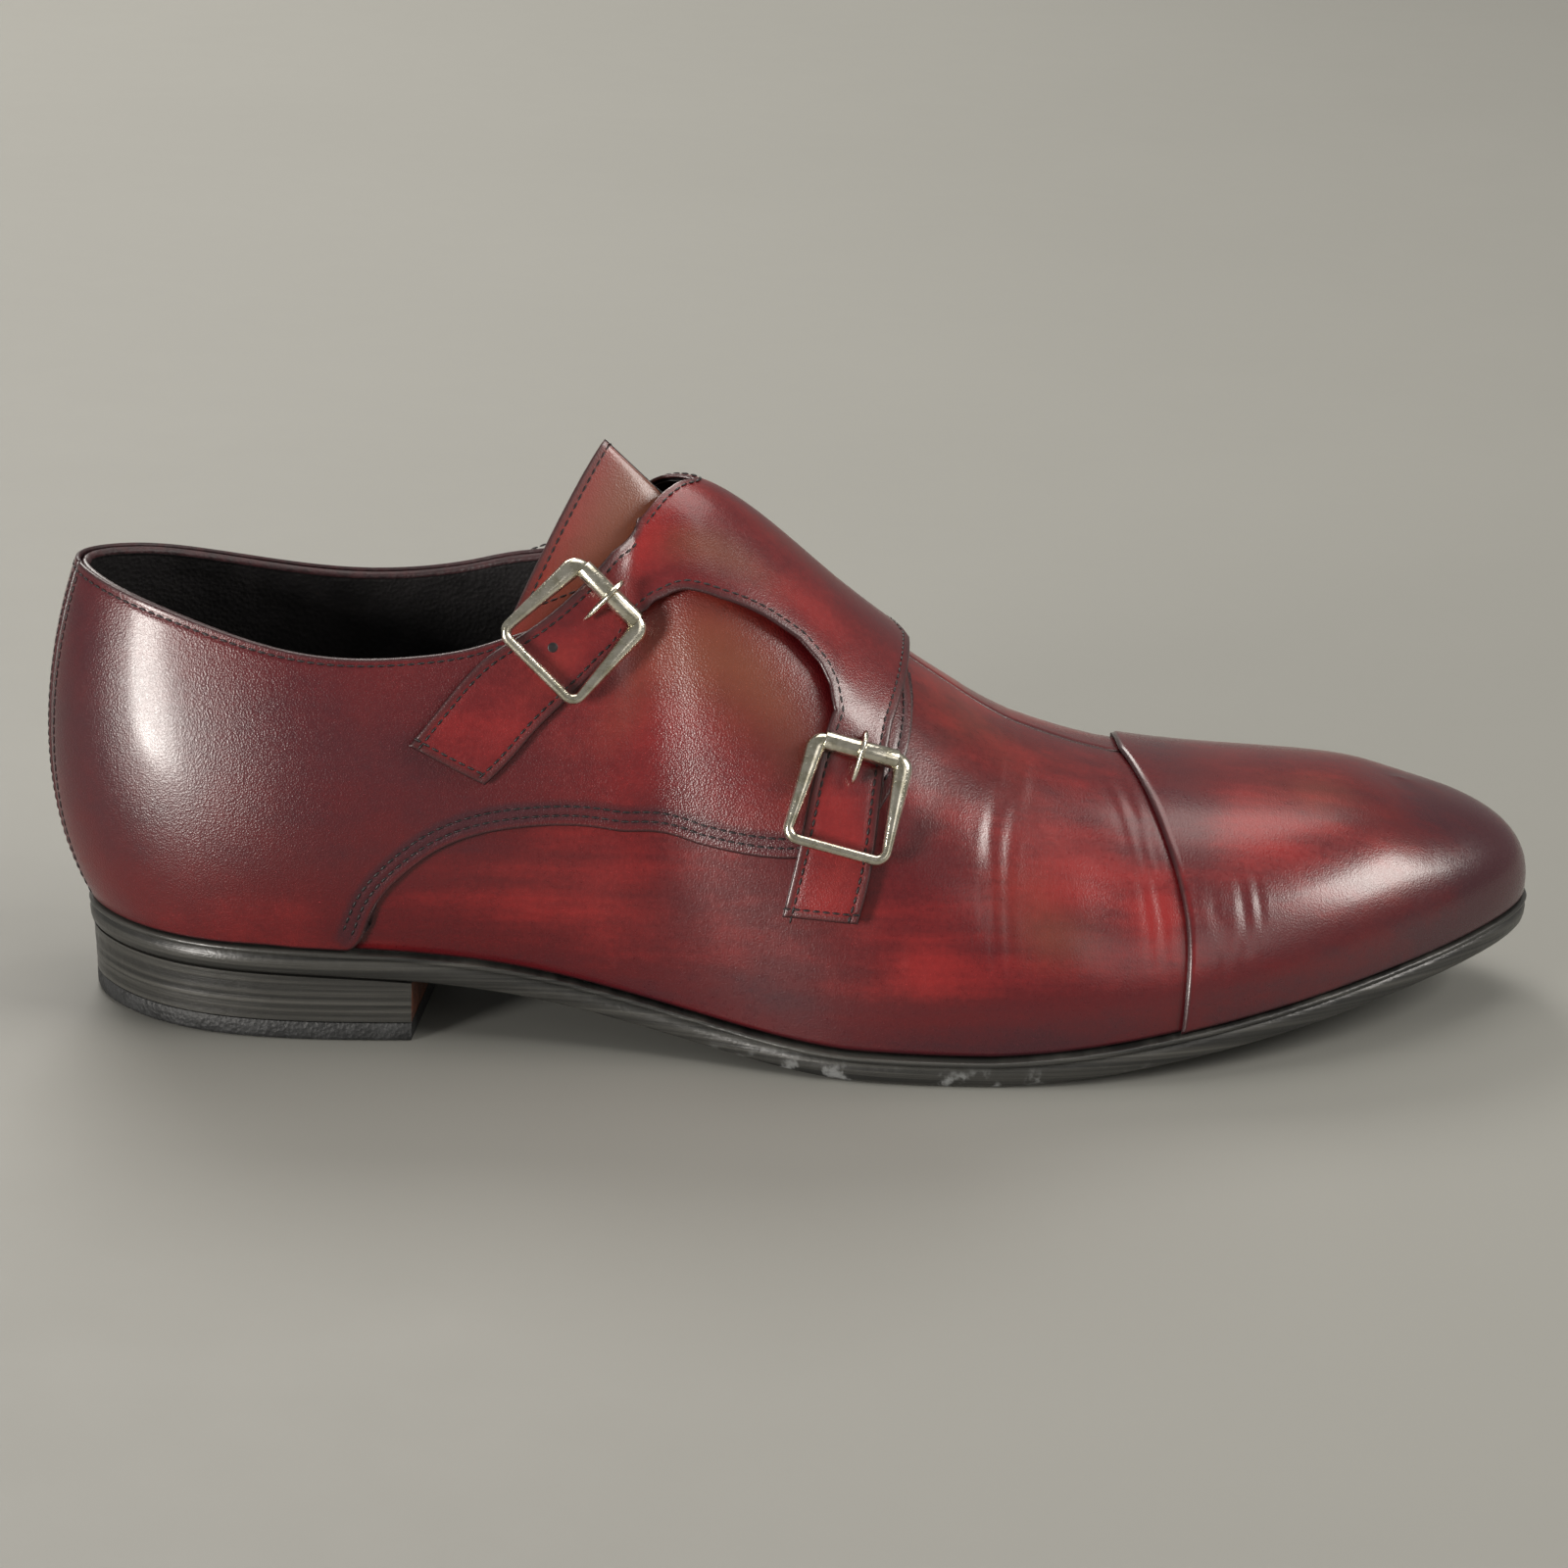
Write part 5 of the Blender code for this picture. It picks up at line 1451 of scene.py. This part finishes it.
# Each lamp: name, place x, y, z, width, height and power in watts.
LIGHTS = (
    ("overhead", 0.10, 0.25, 1.30, 0.90, 0.90, 7.5),
    ("right", 1.05, -0.32, 0.80, 0.58, 0.46, 12),
    ("window", -1.15, -1.05, 0.27, 0.36, 0.50, 24),
    ("low", -1.15, -1.00, 0.08, 0.10, 0.10, 2),
    ("fill", 1.10, -1.60, 0.90, 0.80, 0.80, 2.4),
    ("far", -0.50, 1.25, 1.10, 0.90, 0.90, 23),
)
for name, x, y, z, width, height, power in LIGHTS:
    light = bpy.data.lights.new(name, "AREA")
    light.color = WARM_LIGHT
    light.shape = "RECTANGLE"
    light.size, light.size_y, light.energy = width, height, power
    lamp = bpy.data.objects.new(name, light)
    lamp.location = (x, y, z)
    aim = Vector((x, y - 0.1, 0)) if name == "far" else Vector((0, 0, 0.04))
    lamp.rotation_euler = (Vector((x, y, z)) - aim).to_track_quat("Z", "Y").to_euler()
    bpy.context.scene.collection.objects.link(lamp)
world = bpy.data.worlds.new("soft room")
world.use_nodes = True
world.node_tree.nodes["Background"].inputs[0].default_value = ROOM_LIGHT
world.node_tree.nodes["Background"].inputs[1].default_value = ROOM_POWER
bpy.context.scene.world = world
bpy.context.scene.view_settings.view_transform = "Standard"

# %% Camera
DISTANCE = 1.2
ELEVATION = math.radians(20)
YAW = math.radians(3)
ROLL = math.radians(1.7)
LENS = 133.65
LOOK_AT = np.array((0.152, 0.0, 0.046)) + ORIGIN
level_way = np.array((-math.sin(YAW), -math.cos(YAW), 0))
back_way = level_way * math.cos(ELEVATION) + (0, 0, math.sin(ELEVATION))
right = np.array((math.cos(YAW), -math.sin(YAW), 0))
up = np.cross(back_way, right)
right_rolled = right * math.cos(ROLL) + up * math.sin(ROLL)
up_rolled = up * math.cos(ROLL) - right * math.sin(ROLL)
camera_data = bpy.data.cameras.new("camera")
camera_data.lens = LENS
camera_data.sensor_width = 36
camera_data.clip_end = 20
camera = bpy.data.objects.new("camera", camera_data)
turn = np.column_stack((right_rolled, up_rolled, back_way))
matrix = np.eye(4)
matrix[:3, :3] = turn
matrix[:3, 3] = LOOK_AT + back_way * DISTANCE
camera.matrix_world = Matrix(matrix.tolist())
bpy.context.scene.collection.objects.link(camera)
bpy.context.scene.camera = camera
